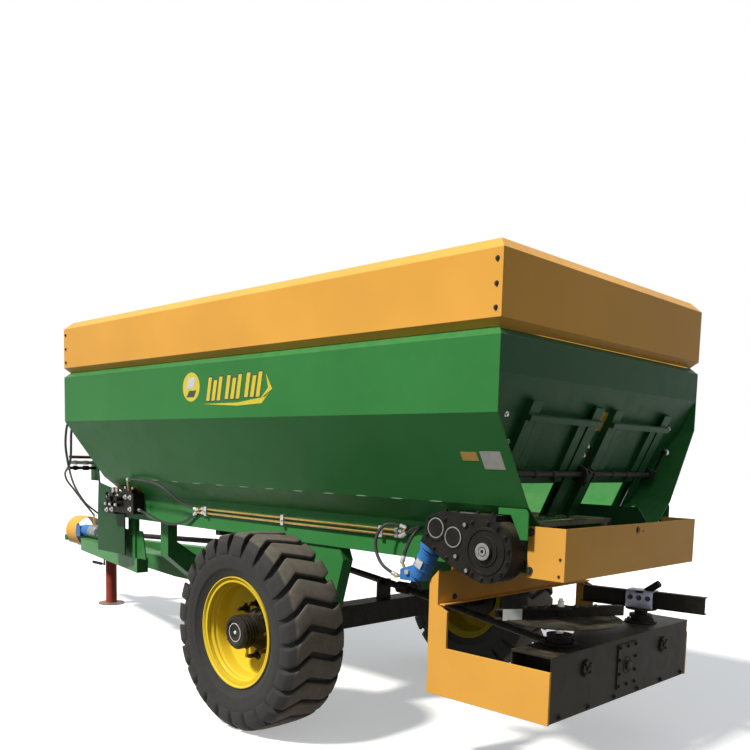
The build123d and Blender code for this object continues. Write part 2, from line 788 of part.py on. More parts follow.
def reducer():
    """Cast housing round three shafts, with a neck to the beam, a flat top and an inclined face for the motor."""
    near, far = reducer_near, reducer_far
    body = rod((rear_x + input_x, near, input_z), (rear_x + input_x, far, input_z), input_radius)
    body += rod((rear_x + shaft_back, near, shaft_z), (rear_x + shaft_back, far, shaft_z), output_radius)
    outline = [(input_x, 1358), (170, 1344), (170, shaft_z), (262, 1015), (457, 1086), (664, 1194), (628, 1255)]
    body += prism(bar_x(outline), "xz", near, far)
    body += block((rear_x + 146, rear_x + 525), (near + 20, far), (1340, 1370))
    body += rod((rear_x + shaft_back, beam_outer, shaft_z), (rear_x + shaft_back, near, shaft_z), 88)
    x = rear_x + shaft_back
    body -= rod((x, beam_outer - 9, shaft_z), (x, far - 30, shaft_z), shaft_radius + close_gap)
    for x, z, radius, height in (
        (input_x, input_z, 57, 5), (425, 1236, 56, 5), (shaft_back, shaft_z, 80, 6), (shaft_back, shaft_z, 49, 22),
        (345, 1309, 15, 8), (401, 1134, 15, 8), (324, 1065, 15, 8),
    ):
        body += rod((rear_x + x, far - 1, z), (rear_x + x, far + height, z), radius)
    return body


def motor():
    """Flange on the housing's inclined face, barrel, and a port block at its far end."""
    start = Vector(rear_x + motor_face[0], motor_y, motor_face[1])
    way = Vector(motor_way[0], 0, motor_way[1]).normalized()
    body = rod(tuple(start), tuple(start + way * 25), motor_radius + 14)
    body += rod(tuple(start), tuple(start + way * motor_length), motor_radius)
    ports = [(716, 950), (850, 950), (850, 1012), (740, 1050)]
    return body + prism(bar_x(ports), "xz", motor_y - 28, motor_y + 28)


# ---------------------------------------------------------------- rear guard and spreader
def rear_guard():
    x0, x1 = rear_x + guard_back, rear_x + guard_front
    box = block((x0, x1), (-guard_half, guard_half), (guard_low, guard_high))
    inner = guard_half - guard_sheet
    box -= block((x0 + guard_sheet, x1 + 9), (-inner, inner), (guard_low - 9, guard_high + 9))
    return box - rod((x0 - 9, 0, 1285), (x0 + 9, 0, 1285), 17)


def guard_brackets():
    """Plates that carry the guard from the rear ends of the chassis beams."""
    inner = beam_outer - beam_width
    x0, x1 = rear_x + guard_front - 120, rear_x + guard_front
    low = guard_low + 20
    plate = block((x0, x1), (inner, guard_half - guard_sheet), (low, low + 12))
    plate += block((x1 - 12, rear_x + beam_back), (inner, beam_outer), (low, low + 12))
    plate += block((rear_x + beam_back - 12, rear_x + beam_back), (inner, beam_outer), (low, beam_high - 10))
    return both_sides(plate)


post_back, post_front, post_top = 585.0, 650.0, 1030.0
side_high = 590.0


def spreader_side():
    line = [
        (case_back, case_low - 4), (post_front, case_low - 4), (post_front, post_top - 65), (post_back, post_top),
        (post_back, 830), (post_back - 70, 800), (post_back - 70, side_high), (case_back, side_high),
    ]
    side = prism(bar_x(line), "xz", side_y - side_sheet, side_y)
    back = rear_x + post_back
    return side + block((back - 8, back), (side_y - 50, side_y), (side_high + 190, 830))


def spreader_cross_plate():
    """Plate from post to post with a bent lower lip, and the hangers that carry it from the chassis beams."""
    reach = side_y - side_sheet
    lip = [(post_back, 1020), (post_back, 838), (post_back - 40, 838)]
    plate = prism(bar_x(folded(lip, 8)), "xz", -reach, reach)
    x0, x1 = rear_x + post_back + 8, rear_x + post_front - 10
    inner = beam_outer - beam_width
    for side in (1, -1):
        plate += block((x0, x1), sorted((side * inner, side * reach)), (940, 965))
        plate += block((x0, x1), sorted((side * inner, side * (beam_outer - 20))), (965, beam_low))
    return plate


def gearcase():
    x0, x1 = rear_x + case_back, rear_x + case_front
    reach = side_y - side_sheet
    case = block((x0, x1), (-reach, reach), (case_low, case_high))
    inside = ((x0 + case_wall, x1 - case_wall), (case_low + case_wall, case_high - case_wall))
    case -= block(inside[0], (-reach - 9, 120 - reach), inside[1])
    case -= block(inside[0], (reach - 120, reach + 9), inside[1])
    for side in (1, -1):
        centre = (rear_x + spinner_back, side * spinner_y)
        case += rod((*centre, case_high - 4), (*centre, case_high + boss_height), boss_radius)
        case -= rod((*centre, case_high - 60), (*centre, case_high + boss_height + 9), spinner_shaft + running_clearance)
    return case


def gearcase_covers():
    x = rear_x + case_back
    covers = [block((x - 8, x), (-110, 110), (374, 632))]
    for side in (1, -1):
        covers.append(rod((x - 10, side * 450, 557), (x, side * 450, 557), 50))
    return Compound(covers)


def spinner_hub(disc_top):
    """Shaft in its own frame, up to the disc or hub plate that carries the blades."""
    plate = hub_plate_radius if disc_top < disc_low else disc_radius
    shaft = rod((0, 0, case_high - 50), (0, 0, disc_top), spinner_shaft)
    shaft += rod((0, 0, case_high + boss_height + 2), (0, 0, case_high + boss_height + 22), boss_radius + 8)
    shaft += rod((0, 0, disc_top - disc_plate - 40), (0, 0, disc_top - disc_plate), 40)
    return shaft + rod((0, 0, disc_top - disc_plate), (0, 0, disc_top), plate)


def spinner_blades(turn, low, stub):
    """Two channels on one line, open to the side they turn to, under a cap plate."""
    line = [(blade_flange, blade_high), (0, blade_high), (0, low), (blade_flange, low)]
    outline = folded(line, blade_sheet)
    blades = []
    for i in range(2):
        blade = prism(outline, "yz", 0, spinner_radius)
        blades.append(Rot(0, 0, turn + 180 * i) * blade)
    cap = rod((0, 0, blade_high - 9), (0, 0, blade_high + 6), 60)
    core = rod((0, 0, low), (0, 0, blade_high), 30)
    body = blades[0].fuse(blades[1], cap, core)
    if stub:
        body += rod((-30, 0, blade_high), (-110, 0, blade_high + 58), 22)
    return body


# ---------------------------------------------------------------- hydraulics
pipe_y = 662.0
pipe_radius = 9.0
pipe_levels = (1212.0, 1180.0)
pipe_back, pipe_front = 1000.0, 3170.0
hose_radius = 10.0
ferrule_radius = 13.0
ferrule_length = 34.0
stem_radius = 9.0

# Each hose: points from its first fitting to its last, forward of the hopper's rear face.
hose_points = {
    "hose_motor_front": [
        (1006, 678, 1246), (1054, 710, 1262), (1100, 750, 1236), (1118, 780, 1168),
        (1104, 790, 1094), (1060, 800, 1034), (1000, 808, 994), (932, 811, 973),
    ],
    "hose_motor_rear": [
        (974, 664, 1200), (912, 664, 1236), (846, 680, 1256), (803, 730, 1250),
        (806, 785, 1213), (833, 802, 1150), (853, 808, 1083),
    ],
    "hose_valve_upper": [
        (3985, 836, 1412), (3865, 844, 1420), (3690, 845, 1414), (3555, 830, 1393),
        (3450, 792, 1338), (3378, 742, 1270), (3312, 702, 1224), (3252, 676, 1207),
    ],
    "hose_valve_lower": [
        (4040, 704, 1142), (3900, 702, 1120), (3752, 700, 1078), (3595, 692, 1056),
        (3450, 682, 1072), (3345, 672, 1112), (3268, 665, 1160),
    ],
    "hose_pump_outer": [
        (4648, 1030, 1905), (4700, 1029, 1880), (4740, 1027, 1800), (4764, 1023, 1670), (4752, 1005, 1525),
        (4860, 940, 1455), (5030, 848, 1400), (5230, 728, 1318), (5430, 600, 1245), (5615, 470, 1170),
        (5770, 345, 1093), (5850, 215, 1015), (5925, 105, 955),
    ],
    "hose_pump_inner": [
        (4648, 985, 1905), (4692, 985, 1880), (4722, 988, 1800), (4738, 982, 1680), (4775, 968, 1560),
        (4880, 945, 1480), (5040, 905, 1432), (5215, 805, 1355), (5400, 665, 1285), (5585, 520, 1200),
        (5755, 385, 1120), (5875, 265, 1040), (5975, 165, 970),
    ],
}
# Where each hose's two fittings lead: ports at its first and last point.
hose_ports = {
    "hose_motor_front": ((pipe_back, pipe_y, pipe_levels[0]), (850, motor_y, 968)),
    "hose_motor_rear": ((pipe_back, pipe_y, pipe_levels[1]), (835, motor_y, 1000)),
    "hose_valve_upper": ((4180, 730, 1290), (pipe_front, pipe_y, pipe_levels[0])),
    "hose_valve_lower": ((4100, 706, 1150), (pipe_front, pipe_y, pipe_levels[1])),
    "hose_pump_outer": ((4592, 1030, 1905), (5975, pump_y, pump_z)),
    "hose_pump_inner": ((4592, 985, 1905), (6035, pump_y, pump_z)),
}


def placed(point):
    return (rear_x + point[0], point[1], point[2])


def hose(points):
    """Tube along straight runs joined by tangent arcs, each as large as its two runs allow."""
    places = [Vector(*placed(p)) for p in points]
    bends = []
    for a, b, c in zip(places, places[1:], places[2:]):
        turn = radians((b - a).get_angle(c - b))
        bends.append(0.45 * min((b - a).length, (c - b).length) / tan(turn / 2))
    path = FilletPolyline(*places, radius=bends)
    print("bend radii", [round(bend) for bend in bends], "length", round(path.length))
    return sweep(Plane(origin=places[0], z_dir=places[1] - places[0]) * Circle(hose_radius), path=path)


def fitting(end, beside, port):
    """Ferrule in line with a hose's end, and the stem from it to a port."""
    end, beside, port = (Vector(*placed(p)) for p in (end, beside, port))
    back = end + (end - beside).normalized() * ferrule_length
    shape = rod(tuple(end), tuple(back), ferrule_radius)
    shape += Pos(*back) * Sphere(ferrule_radius)
    return shape + rod(tuple(back), tuple(port), stem_radius)


def hydraulic_pipes():
    """The two pipes along the beam, and every hose's fittings. What they screw into is cut away by the caller."""
    shapes = [rod(placed((pipe_back, pipe_y, z)), placed((pipe_front, pipe_y, z)), pipe_radius) for z in pipe_levels]
    for name, points in hose_points.items():
        first, last = hose_ports[name]
        shapes.append(fitting(points[0], points[1], first))
        shapes.append(fitting(points[-1], points[-2], last))
    body = shapes[0]
    for shape in shapes[1:]:
        body += shape
    return body


def pipe_clamps():
    clamps = []
    for x in (1180, 2150, 3100):
        across = (beam_outer, pipe_y + pipe_radius + 7)
        clamp = block((rear_x + x - 15, rear_x + x + 15), across, (pipe_levels[1] - 20, pipe_levels[0] + 20))
        for z in pipe_levels:
            clamp -= rod((rear_x + x - 20, pipe_y, z), (rear_x + x + 20, pipe_y, z), pipe_radius + close_gap)
        clamps.append(clamp)
    return Compound(clamps)


def valve_plate():
    """Plate on the beam's outer face that carries the valves, with bars ahead of it to park the couplings on."""
    line = [
        (4400, 720), (4900, 720), (4900, 1040), (4880, 1365), (5024, 1365), (5024, 1490),
        (4970, 1600), (4900, 1600), (4860, 1350), (4400, 1270),
    ]
    face = beam_outer + 10
    plate = prism(bar_x(line), "xz", beam_outer, face)
    for z, radius in ((1580, 12), (1530, 14), (1480, 12)):
        plate += rod((rear_x + 4945, face - 5, z), (rear_x + 4945, 900, z), radius)
    return plate


def valve_block():
    face = beam_outer + 10
    body = block((rear_x + 4400, rear_x + 4560), (face, face + 100), (1090, 1270))
    body += block((rear_x + 4066, rear_x + 4400), (face, face + 100), (1110, 1284))
    body += block((rear_x + 4090, rear_x + 4250), (face + 50, face + 100), (1284, 1320))
    for x in (4300, 4400, 4480):
        body += rod((rear_x + x, face + 99, 1180), (rear_x + x, face + 135, 1180), 20)
    return body


# ---------------------------------------------------------------- the whole machine
def placed_wheel(shape, side):
    moved = Pos(axle_x, wheel_y, wheel_z) * shape
    return moved if side > 0 else other_side(moved)


def placed_spinner(shape, side):
    return Pos(rear_x + spinner_back, side * spinner_y, 0) * shape


nodes = {
    "hopper_side_left": hopper_side(),
    "hopper_front_wall": hopper_front_wall(),
    "hopper_rear_wall": hopper_rear_wall(),
    "gate_left": gate(),
    "gate_frame": gate_frame(),
    "gate_shaft": gate_shaft(),
    "chassis_beam_left": chassis_beam(),
    "chassis_crossmembers": chassis_crossmembers(),
    "conveyor_floor": conveyor_floor(),
    "conveyor_chain": conveyor_chain(),
    "conveyor_slats": conveyor_slats(),
    "conveyor_drive_shaft": sprocket_shaft(shaft_back, -beam_outer - 60, 840),
    "conveyor_idler_shaft": sprocket_shaft(shaft_front, beam_width - beam_outer, beam_outer - beam_width),
    "shaft_bearings": shaft_bearings(),
    "axle_beam": axle_beam(),
    "axle_hangers": both_sides(axle_hanger()),
    "drawbar": drawbar(),
    "hitch_eye": hitch_eye(),
    "drawbar_arms": both_sides(drawbar_arm()),
    "subframe_post": subframe_post(),
    "jack_sleeve": jack_sleeve() + jack_grip(),
    "jack_leg": jack_leg(),
    "pto_guard": pto_guard(),
    "pump": pump(),
    "driveline": Compound([driveline(), driveline_bearings()]),
    "reducer": reducer(),
    "motor": motor(),
    "rear_guard": rear_guard(),
    "spreader_side_left": spreader_side(),
    "rear_brackets": guard_brackets(),
    "spreader_cross_plate": spreader_cross_plate(),
    "gearcase": gearcase() + gearcase_covers(),
    "pipe_clamps": pipe_clamps(),
    "valve_plate": valve_plate(),
    "valve_block": valve_block(),
}
nodes["hydraulic_pipes"] = hydraulic_pipes()
for name in ("motor", "pump", "valve_block", "hopper_front_wall"):
    nodes["hydraulic_pipes"] -= nodes[name]
nodes.update(extension_panels())
for name in [name for name in nodes if name.endswith("_left") and not name.startswith("extension")]:
    nodes[name.replace("_left", "_right")] = other_side(nodes[name])

for side, word, turn, top in ((1, "left", 58, disc_low + disc_plate), (-1, "right", 8, blade_low)):
    for part, shape in (("tyre", tyre()), ("rim", rim()), ("hub", hub())):
        nodes[f"{part}_{word}"] = placed_wheel(shape, side)
    nodes[f"spinner_disc_{word}"] = placed_spinner(spinner_hub(top), side)
    nodes[f"spinner_blades_{word}"] = placed_spinner(spinner_blades(turn, top, side < 0), side)
for name, points in hose_points.items():
    nodes[name] = hose(points)

for name, shape in nodes.items():
    export_step(Pos(0, 0, -ground) * shape, f"parts/{name}.step")
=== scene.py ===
from math import cos, hypot, pi, radians, sin

import bmesh
import bpy
from mathutils import Matrix, Vector


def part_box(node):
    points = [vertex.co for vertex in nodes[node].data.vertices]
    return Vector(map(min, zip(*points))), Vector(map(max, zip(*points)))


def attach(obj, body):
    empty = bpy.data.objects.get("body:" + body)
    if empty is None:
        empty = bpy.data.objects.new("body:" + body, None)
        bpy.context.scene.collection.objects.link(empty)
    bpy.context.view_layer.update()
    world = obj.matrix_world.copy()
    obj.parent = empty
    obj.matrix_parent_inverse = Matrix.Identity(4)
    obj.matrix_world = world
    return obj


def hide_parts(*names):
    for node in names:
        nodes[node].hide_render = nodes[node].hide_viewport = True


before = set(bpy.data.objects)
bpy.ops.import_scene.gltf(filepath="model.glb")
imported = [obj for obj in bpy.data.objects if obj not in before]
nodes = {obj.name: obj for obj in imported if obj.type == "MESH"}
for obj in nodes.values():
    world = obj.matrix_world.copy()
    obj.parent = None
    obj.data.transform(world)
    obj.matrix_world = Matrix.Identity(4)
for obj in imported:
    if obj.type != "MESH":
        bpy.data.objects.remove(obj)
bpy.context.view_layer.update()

scene = bpy.context.scene

# ---------------------------------------------------------------- viewpoint
# A person's eye level, behind the machine's left corner, looking forward along the hopper.
hopper_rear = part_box("hopper_rear_wall")[0][0]
camera_data = bpy.data.cameras.new("camera")
camera_data.lens = 39.76
camera_data.shift_x = -0.0139
camera_data.shift_y = 0.2228
camera = bpy.data.objects.new("camera", camera_data)
scene.collection.objects.link(camera)
yaw, pitch, roll = radians(-46.105), radians(-5.890), radians(1.554)
ahead = Vector((cos(pitch) * cos(yaw), cos(pitch) * sin(yaw), sin(pitch)))
across = ahead.cross(Vector((0, 0, 1))).normalized()
upward = across.cross(ahead)
right = across * cos(roll) + upward * sin(roll)
above = upward * cos(roll) - across * sin(roll)
camera.matrix_world = Matrix.Translation((hopper_rear - 2.409, 4.357, 1.744)) @ Matrix(
    (right, above, -ahead)
).transposed().to_4x4()
scene.camera = camera

# ---------------------------------------------------------------- studio
# A pale floor, one soft key light high on the left side, and an even white surround.
scene.view_settings.view_transform = "Standard"


def linear(text):
    """Linear colour of an sRGB hex value."""
    parts = [int(text[i:i + 2], 16) / 255 for i in (1, 3, 5)]
    return [c / 12.92 if c <= 0.04045 else ((c + 0.055) / 1.055) ** 2.4 for c in parts] + [1.0]


def add_node(tree, kind, inputs=None, **settings):
    """Adds a node with its settings. Inputs, by name or number, are values or the outputs that feed them."""
    node = tree.nodes.new(kind)
    for name, value in settings.items():
        setattr(node, name, value)
    for name, value in (inputs or {}).items():
        if isinstance(value, bpy.types.NodeSocket):
            tree.links.new(value, node.inputs[name])
        else:
            node.inputs[name].default_value = value
    return node


def seen_directly(tree):
    """1 for rays that come straight from the camera or by a reflection, 0 for light that bounces."""
    path = add_node(tree, "ShaderNodeLightPath")
    eye, gloss, glass = (path.outputs[f"Is {way} Ray"] for way in ("Camera", "Glossy", "Transmission"))
    seen = add_node(tree, "ShaderNodeMath", {0: eye, 1: gloss}, operation="MAXIMUM")
    return add_node(tree, "ShaderNodeMath", {0: seen.outputs[0], 1: glass}, operation="MAXIMUM")


sun_data = bpy.data.lights.new("key", "SUN")
sun_data.energy = 3.85
sun_data.angle = radians(7)
sun_data.color = (1.0, 0.965, 0.91)
sun = bpy.data.objects.new("key", sun_data)
scene.collection.objects.link(sun)
sun.rotation_euler = Vector((0.15, 0.62, 0.77)).to_track_quat("Z", "Y").to_euler()

surround = bpy.data.worlds.new("surround")
surround.use_nodes = True
scene.world = surround
tree = surround.node_tree
tree.nodes.clear()
soft = add_node(tree, "ShaderNodeBackground", {"Color": linear("#E9F1FF"), "Strength": 0.34})
white = add_node(tree, "ShaderNodeBackground", {"Color": linear("#FFFFFF"), "Strength": 1.0})
mixed = add_node(
    tree, "ShaderNodeMixShader", {0: seen_directly(tree).outputs[0], 1: soft.outputs[0], 2: white.outputs[0]}
)
add_node(tree, "ShaderNodeOutputWorld", {"Surface": mixed.outputs[0]})

floor_paint = bpy.data.materials.new("studio_floor")
floor_paint.use_nodes = True
tree = floor_paint.node_tree
tree.nodes.clear()
dull = add_node(tree, "ShaderNodeBsdfDiffuse", {"Color": linear("#4A4741")})
pale = add_node(tree, "ShaderNodeBsdfDiffuse", {"Color": linear("#F4F4F2")})
glow = add_node(tree, "ShaderNodeEmission", {"Color": linear("#FFFFFF"), "Strength": 0.38})
bright = add_node(tree, "ShaderNodeAddShader", {0: pale.outputs[0], 1: glow.outputs[0]})
mixed = add_node(
    tree, "ShaderNodeMixShader", {0: seen_directly(tree).outputs[0], 1: dull.outputs[0], 2: bright.outputs[0]}
)
add_node(tree, "ShaderNodeOutputMaterial", {"Surface": mixed.outputs[0]})
shape = bmesh.new()
bmesh.ops.create_grid(shape, x_segments=1, y_segments=1, size=60)
floor_mesh = bpy.data.meshes.new("floor")
shape.to_mesh(floor_mesh)
shape.free()
floor_mesh.materials.append(floor_paint)
floor = bpy.data.objects.new("floor", floor_mesh)
scene.collection.objects.link(floor)


# ---------------------------------------------------------------- hopper
# Folded and welded sheet steel, sprayed with green enamel. The sides stand upright, then slope in
# to the chassis beams. Stitch welds join the two sheets along the fold of each slope.
def enamel(name, colour, dust=0.2, roughness=0.38, ripple=0.25):
    """Sprayed enamel on sheet steel: an even coat with slow drifts of shade, dry dust and small scuffs."""
    material = bpy.data.materials.new(name)
    material.use_nodes = True
    tree = material.node_tree
    shader = tree.nodes["Principled BSDF"]
    place = add_node(tree, "ShaderNodeTexCoord").outputs["Object"]
    drift = add_node(tree, "ShaderNodeTexNoise", {"Vector": place, "Scale": 1 / 0.9, "Detail": 3.0})
    shade = add_node(tree, "ShaderNodeMapRange", {0: drift.outputs[0], 1: 0.3, 2: 0.7, 3: 0.90, 4: 1.08})
    coat = add_node(
        tree, "ShaderNodeVectorMath", {0: linear(colour)[:3], "Scale": shade.outputs[0]}, operation="SCALE"
    )
    normal = add_node(tree, "ShaderNodeNewGeometry").outputs["Normal"]
    facing = add_node(tree, "ShaderNodeSeparateXYZ", {0: normal})
    lying = add_node(tree, "ShaderNodeMapRange", {0: facing.outputs[2], 1: 0.2, 2: 0.95})
    height = add_node(tree, "ShaderNodeSeparateXYZ", {0: place})
    low = add_node(tree, "ShaderNodeMapRange", {0: height.outputs[2], 1: 1.2, 2: 0.2, 3: 0.12, 4: 0.8})
    settled = add_node(tree, "ShaderNodeMath", {0: lying.outputs[0], 1: low.outputs[0]}, operation="MAXIMUM")
    grit = add_node(
        tree, "ShaderNodeTexNoise", {"Vector": place, "Scale": 1 / 0.09, "Detail": 9.0, "Roughness": 0.65}
    )
    patchy = add_node(tree, "ShaderNodeMapRange", {0: grit.outputs[0], 1: 0.36, 2: 0.72, 3: 0.0, 4: dust})
    amount = add_node(tree, "ShaderNodeMath", {0: settled.outputs[0], 1: patchy.outputs[0]}, operation="MULTIPLY")
    dusted = add_node(
        tree, "ShaderNodeMix", {0: amount.outputs[0], 6: coat.outputs[0], 7: linear("#A79A80")}, data_type="RGBA"
    )
    # Scuffs are drawn about 15 mm across, coarser than the real scratches, so that they show.
    scuff = add_node(
        tree, "ShaderNodeTexNoise", {"Vector": place, "Scale": 1 / 0.015, "Detail": 4.0, "Roughness": 0.7}
    )
    few = add_node(tree, "ShaderNodeMapRange", {0: scuff.outputs[0], 1: 0.71, 2: 0.75, 3: 0.0, 4: 0.45})
    surface = add_node(
        tree, "ShaderNodeMix", {0: few.outputs[0], 6: dusted.outputs[2], 7: linear("#4E463A")}, data_type="RGBA"
    )
    tree.links.new(surface.outputs[2], shader.inputs["Base Color"])
    dull = add_node(
        tree, "ShaderNodeMapRange",
        {0: grit.outputs[0], 1: 0.3, 2: 0.7, 3: roughness - 0.05, 4: roughness + 0.12},
    )
    tree.links.new(dull.outputs[0], shader.inputs["Roughness"])
    shader.inputs["Specular IOR Level"].default_value = 0.08
    rounded = add_node(tree, "ShaderNodeBevel", {"Radius": 0.004}, samples=4)
    wave = add_node(tree, "ShaderNodeTexNoise", {"Vector": place, "Scale": 1 / 0.38, "Detail": 1.0})
    waved = add_node(
        tree, "ShaderNodeBump",
        {"Strength": ripple, "Distance": 0.012, "Height": wave.outputs[0], "Normal": rounded.outputs[0]},
    )
    peel = add_node(tree, "ShaderNodeTexNoise", {"Vector": place, "Scale": 1 / 0.012, "Detail": 2.0})
    peeled = add_node(
        tree, "ShaderNodeBump",
        {"Strength": 0.05, "Distance": 0.002, "Height": peel.outputs[0], "Normal": waved.outputs[0]},
    )
    tree.links.new(peeled.outputs[0], shader.inputs["Normal"])
    return material


def coat(material, *names):
    """Gives a finish to CAD nodes."""
    for name in names:
        slots = nodes[name].material_slots
        if len(slots) == 0:
            nodes[name].data.materials.append(material)
        for slot in slots:
            slot.link = "OBJECT"
            slot.material = material


def soften(shape, width, angle=30, segments=2):
    """Rounds every edge that turns by more than an angle."""
    edges = [e for e in shape.edges if len(e.link_faces) == 2 and e.calc_face_angle(0) > radians(angle)]
    bmesh.ops.bevel(
        shape, geom=edges, offset=width, segments=segments, profile=0.5, affect="EDGES",
        material=-1, clamp_overlap=True,
    )


def add_piece(shape, name, material, body="chassis", sharp=35, stands_for=()):
    """Makes a named piece of a bmesh, shaded smooth up to an angle, that rides on a body."""
    bmesh.ops.recalc_face_normals(shape, faces=shape.faces)
    mesh = bpy.data.meshes.new(name)
    shape.to_mesh(mesh)
    shape.free()
    mesh.shade_smooth()
    mesh.set_sharp_from_angle(angle=radians(sharp))
    mesh.materials.append(material)
    piece = bpy.data.objects.new(name, mesh)
    scene.collection.objects.link(piece)
    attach(piece, body)
    if stands_for:
        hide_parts(*stands_for)
    return piece


def add_panel(shape, middle, along, up, size):
    """Flat plate that stands on a surface: the ways of its length and height, then length, height and depth."""
    along, up = Vector(along).normalized(), Vector(up).normalized()
    out = along.cross(up)
    middle = Vector(middle) + out * size[2] / 2
    columns = [(*(along * size[0]), 0), (*(up * size[1]), 0), (*(out * size[2]), 0), (*middle, 1)]
    bmesh.ops.create_cube(shape, size=1, matrix=Matrix(columns).transposed())


def spot(x, y, z):
    """Place so far forward of the hopper's rear face. Heights count from a line 84 mm over the ground."""
    return Vector((hopper_rear + x, y, z + 0.084))


green = enamel("green_enamel_on_sheet_steel", "#388342")
coat(green, "hopper_side_left", "hopper_side_right", "hopper_front_wall")

fold_y, fold_z = 0.808, 1.418
# The beads' pale green is a painted highlight: the glint of light along the fold.
bead_with_painted_highlight = enamel("pale_green_weld_bead_painted_highlight", "#7FA07F", roughness=0.5)
shape = bmesh.new()
for side in (1, -1):
    for i in range(12):
        at = spot(0.62 + i * 0.30, side * (fold_y - 0.001), fold_z)
        size = Matrix.Diagonal((0.055, 0.004, 0.004, 1))
        bmesh.ops.create_icosphere(shape, subdivisions=2, radius=1, matrix=Matrix.Translation(at) @ size)
add_piece(shape, "stitch_welds", bead_with_painted_highlight)


# ---------------------------------------------------------------- stickers
# Vinyl film on the upright sides: a round emblem, slanted bars and a tapered swoosh, all plain yellow
# on a dark outline. Small blank plates sit on the slopes.
def vinyl(name, colour):
    """Printed vinyl film: even colour under a soft gloss, a little dirty."""
    material = bpy.data.materials.new(name)
    material.use_nodes = True
    tree = material.node_tree
    shader = tree.nodes["Principled BSDF"]
    place = add_node(tree, "ShaderNodeTexCoord").outputs["Object"]
    dirt = add_node(tree, "ShaderNodeTexNoise", {"Vector": place, "Scale": 1 / 0.03, "Detail": 5.0})
    tone = add_node(tree, "ShaderNodeMapRange", {0: dirt.outputs[0], 1: 0.3, 2: 0.7, 3: 0.86, 4: 1.0})
    film = add_node(
        tree, "ShaderNodeVectorMath", {0: linear(colour)[:3], "Scale": tone.outputs[0]}, operation="SCALE"
    )
    tree.links.new(film.outputs[0], shader.inputs["Base Color"])
    shader.inputs["Roughness"].default_value = 0.35
    return material


def add_film(shape, outline, side, lift):
    """Thin film on an upright side, from (x, z) points counted as spot counts them."""
    face = shape.faces.new([shape.verts.new(spot(x, side * (1.102 + lift), z)) for x, z in outline])
    grown = bmesh.ops.extrude_face_region(shape, geom=[face])["geom"]
    moved = [v for v in grown if isinstance(v, bmesh.types.BMVert)]
    bmesh.ops.translate(shape, verts=moved, vec=(0, side * 0.0006, 0))


def slanted(x, z, width, height, lean=0.03):
    return [(x, z), (x - width, z), (x - width - lean, z + height), (x - lean, z + height)]


film_yellow = vinyl("yellow_vinyl_film", "#E8D22A")
film_dark = vinyl("dark_green_vinyl_film", "#143A1C")
film_white = vinyl("white_vinyl_film", "#D9DCD2")
swoosh = [(2.50, 1.985), (2.10, 1.965), (1.84, 1.975), (1.745, 2.055), (1.80, 2.015), (2.10, 1.985)]
flick = [(1.86, 2.00), (1.735, 2.06), (1.80, 2.16), (1.775, 2.07)]
emblem_x, emblem_z, emblem_radius = 2.64, 2.105, 0.105
for word, side in (("left", 1), ("right", -1)):
    shape, edge = bmesh.new(), bmesh.new()
    for group in range(3):
        for bar in range(3):
            x = 2.455 - group * 0.215 - bar * 0.062
            z, tall = 2.005 + group * 0.006, 0.155 - 0.02 * (bar % 2)
            add_film(shape, slanted(x, z, 0.038, tall), side, 0.0006)
            add_film(edge, slanted(x + 0.007, z - 0.007, 0.052, tall + 0.014), side, 0.0)
    add_film(shape, swoosh, side, 0.0006)
    add_film(shape, flick, side, 0.0006)
    ring = [
        (emblem_x + emblem_radius * cos(i * pi / 16), emblem_z + 0.95 * emblem_radius * sin(i * pi / 16))
        for i in range(32)
    ]
    add_film(shape, ring, side, 0.0)
    add_piece(shape, f"side_stripes_{word}", film_yellow)
    add_film(edge, slanted(emblem_x + 0.055, emblem_z - 0.07, 0.09, 0.045), side, 0.0008)
    add_piece(edge, f"side_stripe_edges_{word}", film_dark)
    shape = bmesh.new()
    add_film(shape, slanted(emblem_x + 0.06, emblem_z - 0.01, 0.09, 0.075), side, 0.0008)
    add_piece(shape, f"side_emblem_bar_{word}", film_white)

label_yellow = vinyl("yellow_label_film", "#D6A63C")
rearward = Vector((-1, 0, 0))
slope_up = Vector((0, 0.294, 0.470))
foot_up = Vector((0, 0.163, 0.138))
shape = bmesh.new()
add_panel(shape, spot(0.267, 0.9675, 1.673), rearward, slope_up, (0.105, 0.052, 0.0008))
add_panel(shape, spot(4.396, 0.710, 1.335), rearward, foot_up, (0.10, 0.085, 0.0008))
add_panel(shape, spot(4.107, 0.694, 1.322), rearward, foot_up, (0.085, 0.10, 0.0008))
add_piece(shape, "blank_labels", label_yellow)
shape = bmesh.new()
add_panel(shape, spot(0.128, 0.956, 1.655), rearward, slope_up, (0.130, 0.106, 0.0008))
add_piece(shape, "blank_plate", vinyl("white_label_film", "#C9C9C2"))


# ---------------------------------------------------------------- extension
# Four folded panels in yellow enamel that raise the hopper, bolted together at the corners.
yellow = enamel("yellow_enamel_on_sheet_steel", "#F3B34F", dust=0.12)
coat(yellow, "extension_left", "extension_right", "extension_front", "extension_rear")


def turned_to(way):
    """Turn that brings +Z to a direction."""
    return Vector(way).to_track_quat("Z", "Y").to_matrix().to_4x4()


def add_bolt(shape, at, way, across_flats):
    """Hexagon head on a washer, standing on a surface."""
    place = Matrix.Translation(at) @ turned_to(way)
    washer, head = across_flats * 0.12, across_flats * 0.62
    bmesh.ops.create_cone(
        shape, cap_ends=True, segments=18, radius1=across_flats * 0.95, radius2=across_flats * 0.92,
        depth=washer, matrix=place @ Matrix.Translation((0, 0, washer / 2)),
    )
    bmesh.ops.create_cone(
        shape, cap_ends=True, segments=6, radius1=across_flats * 0.58, radius2=across_flats * 0.53,
        depth=head, matrix=place @ Matrix.Translation((0, 0, washer + head / 2)),
    )


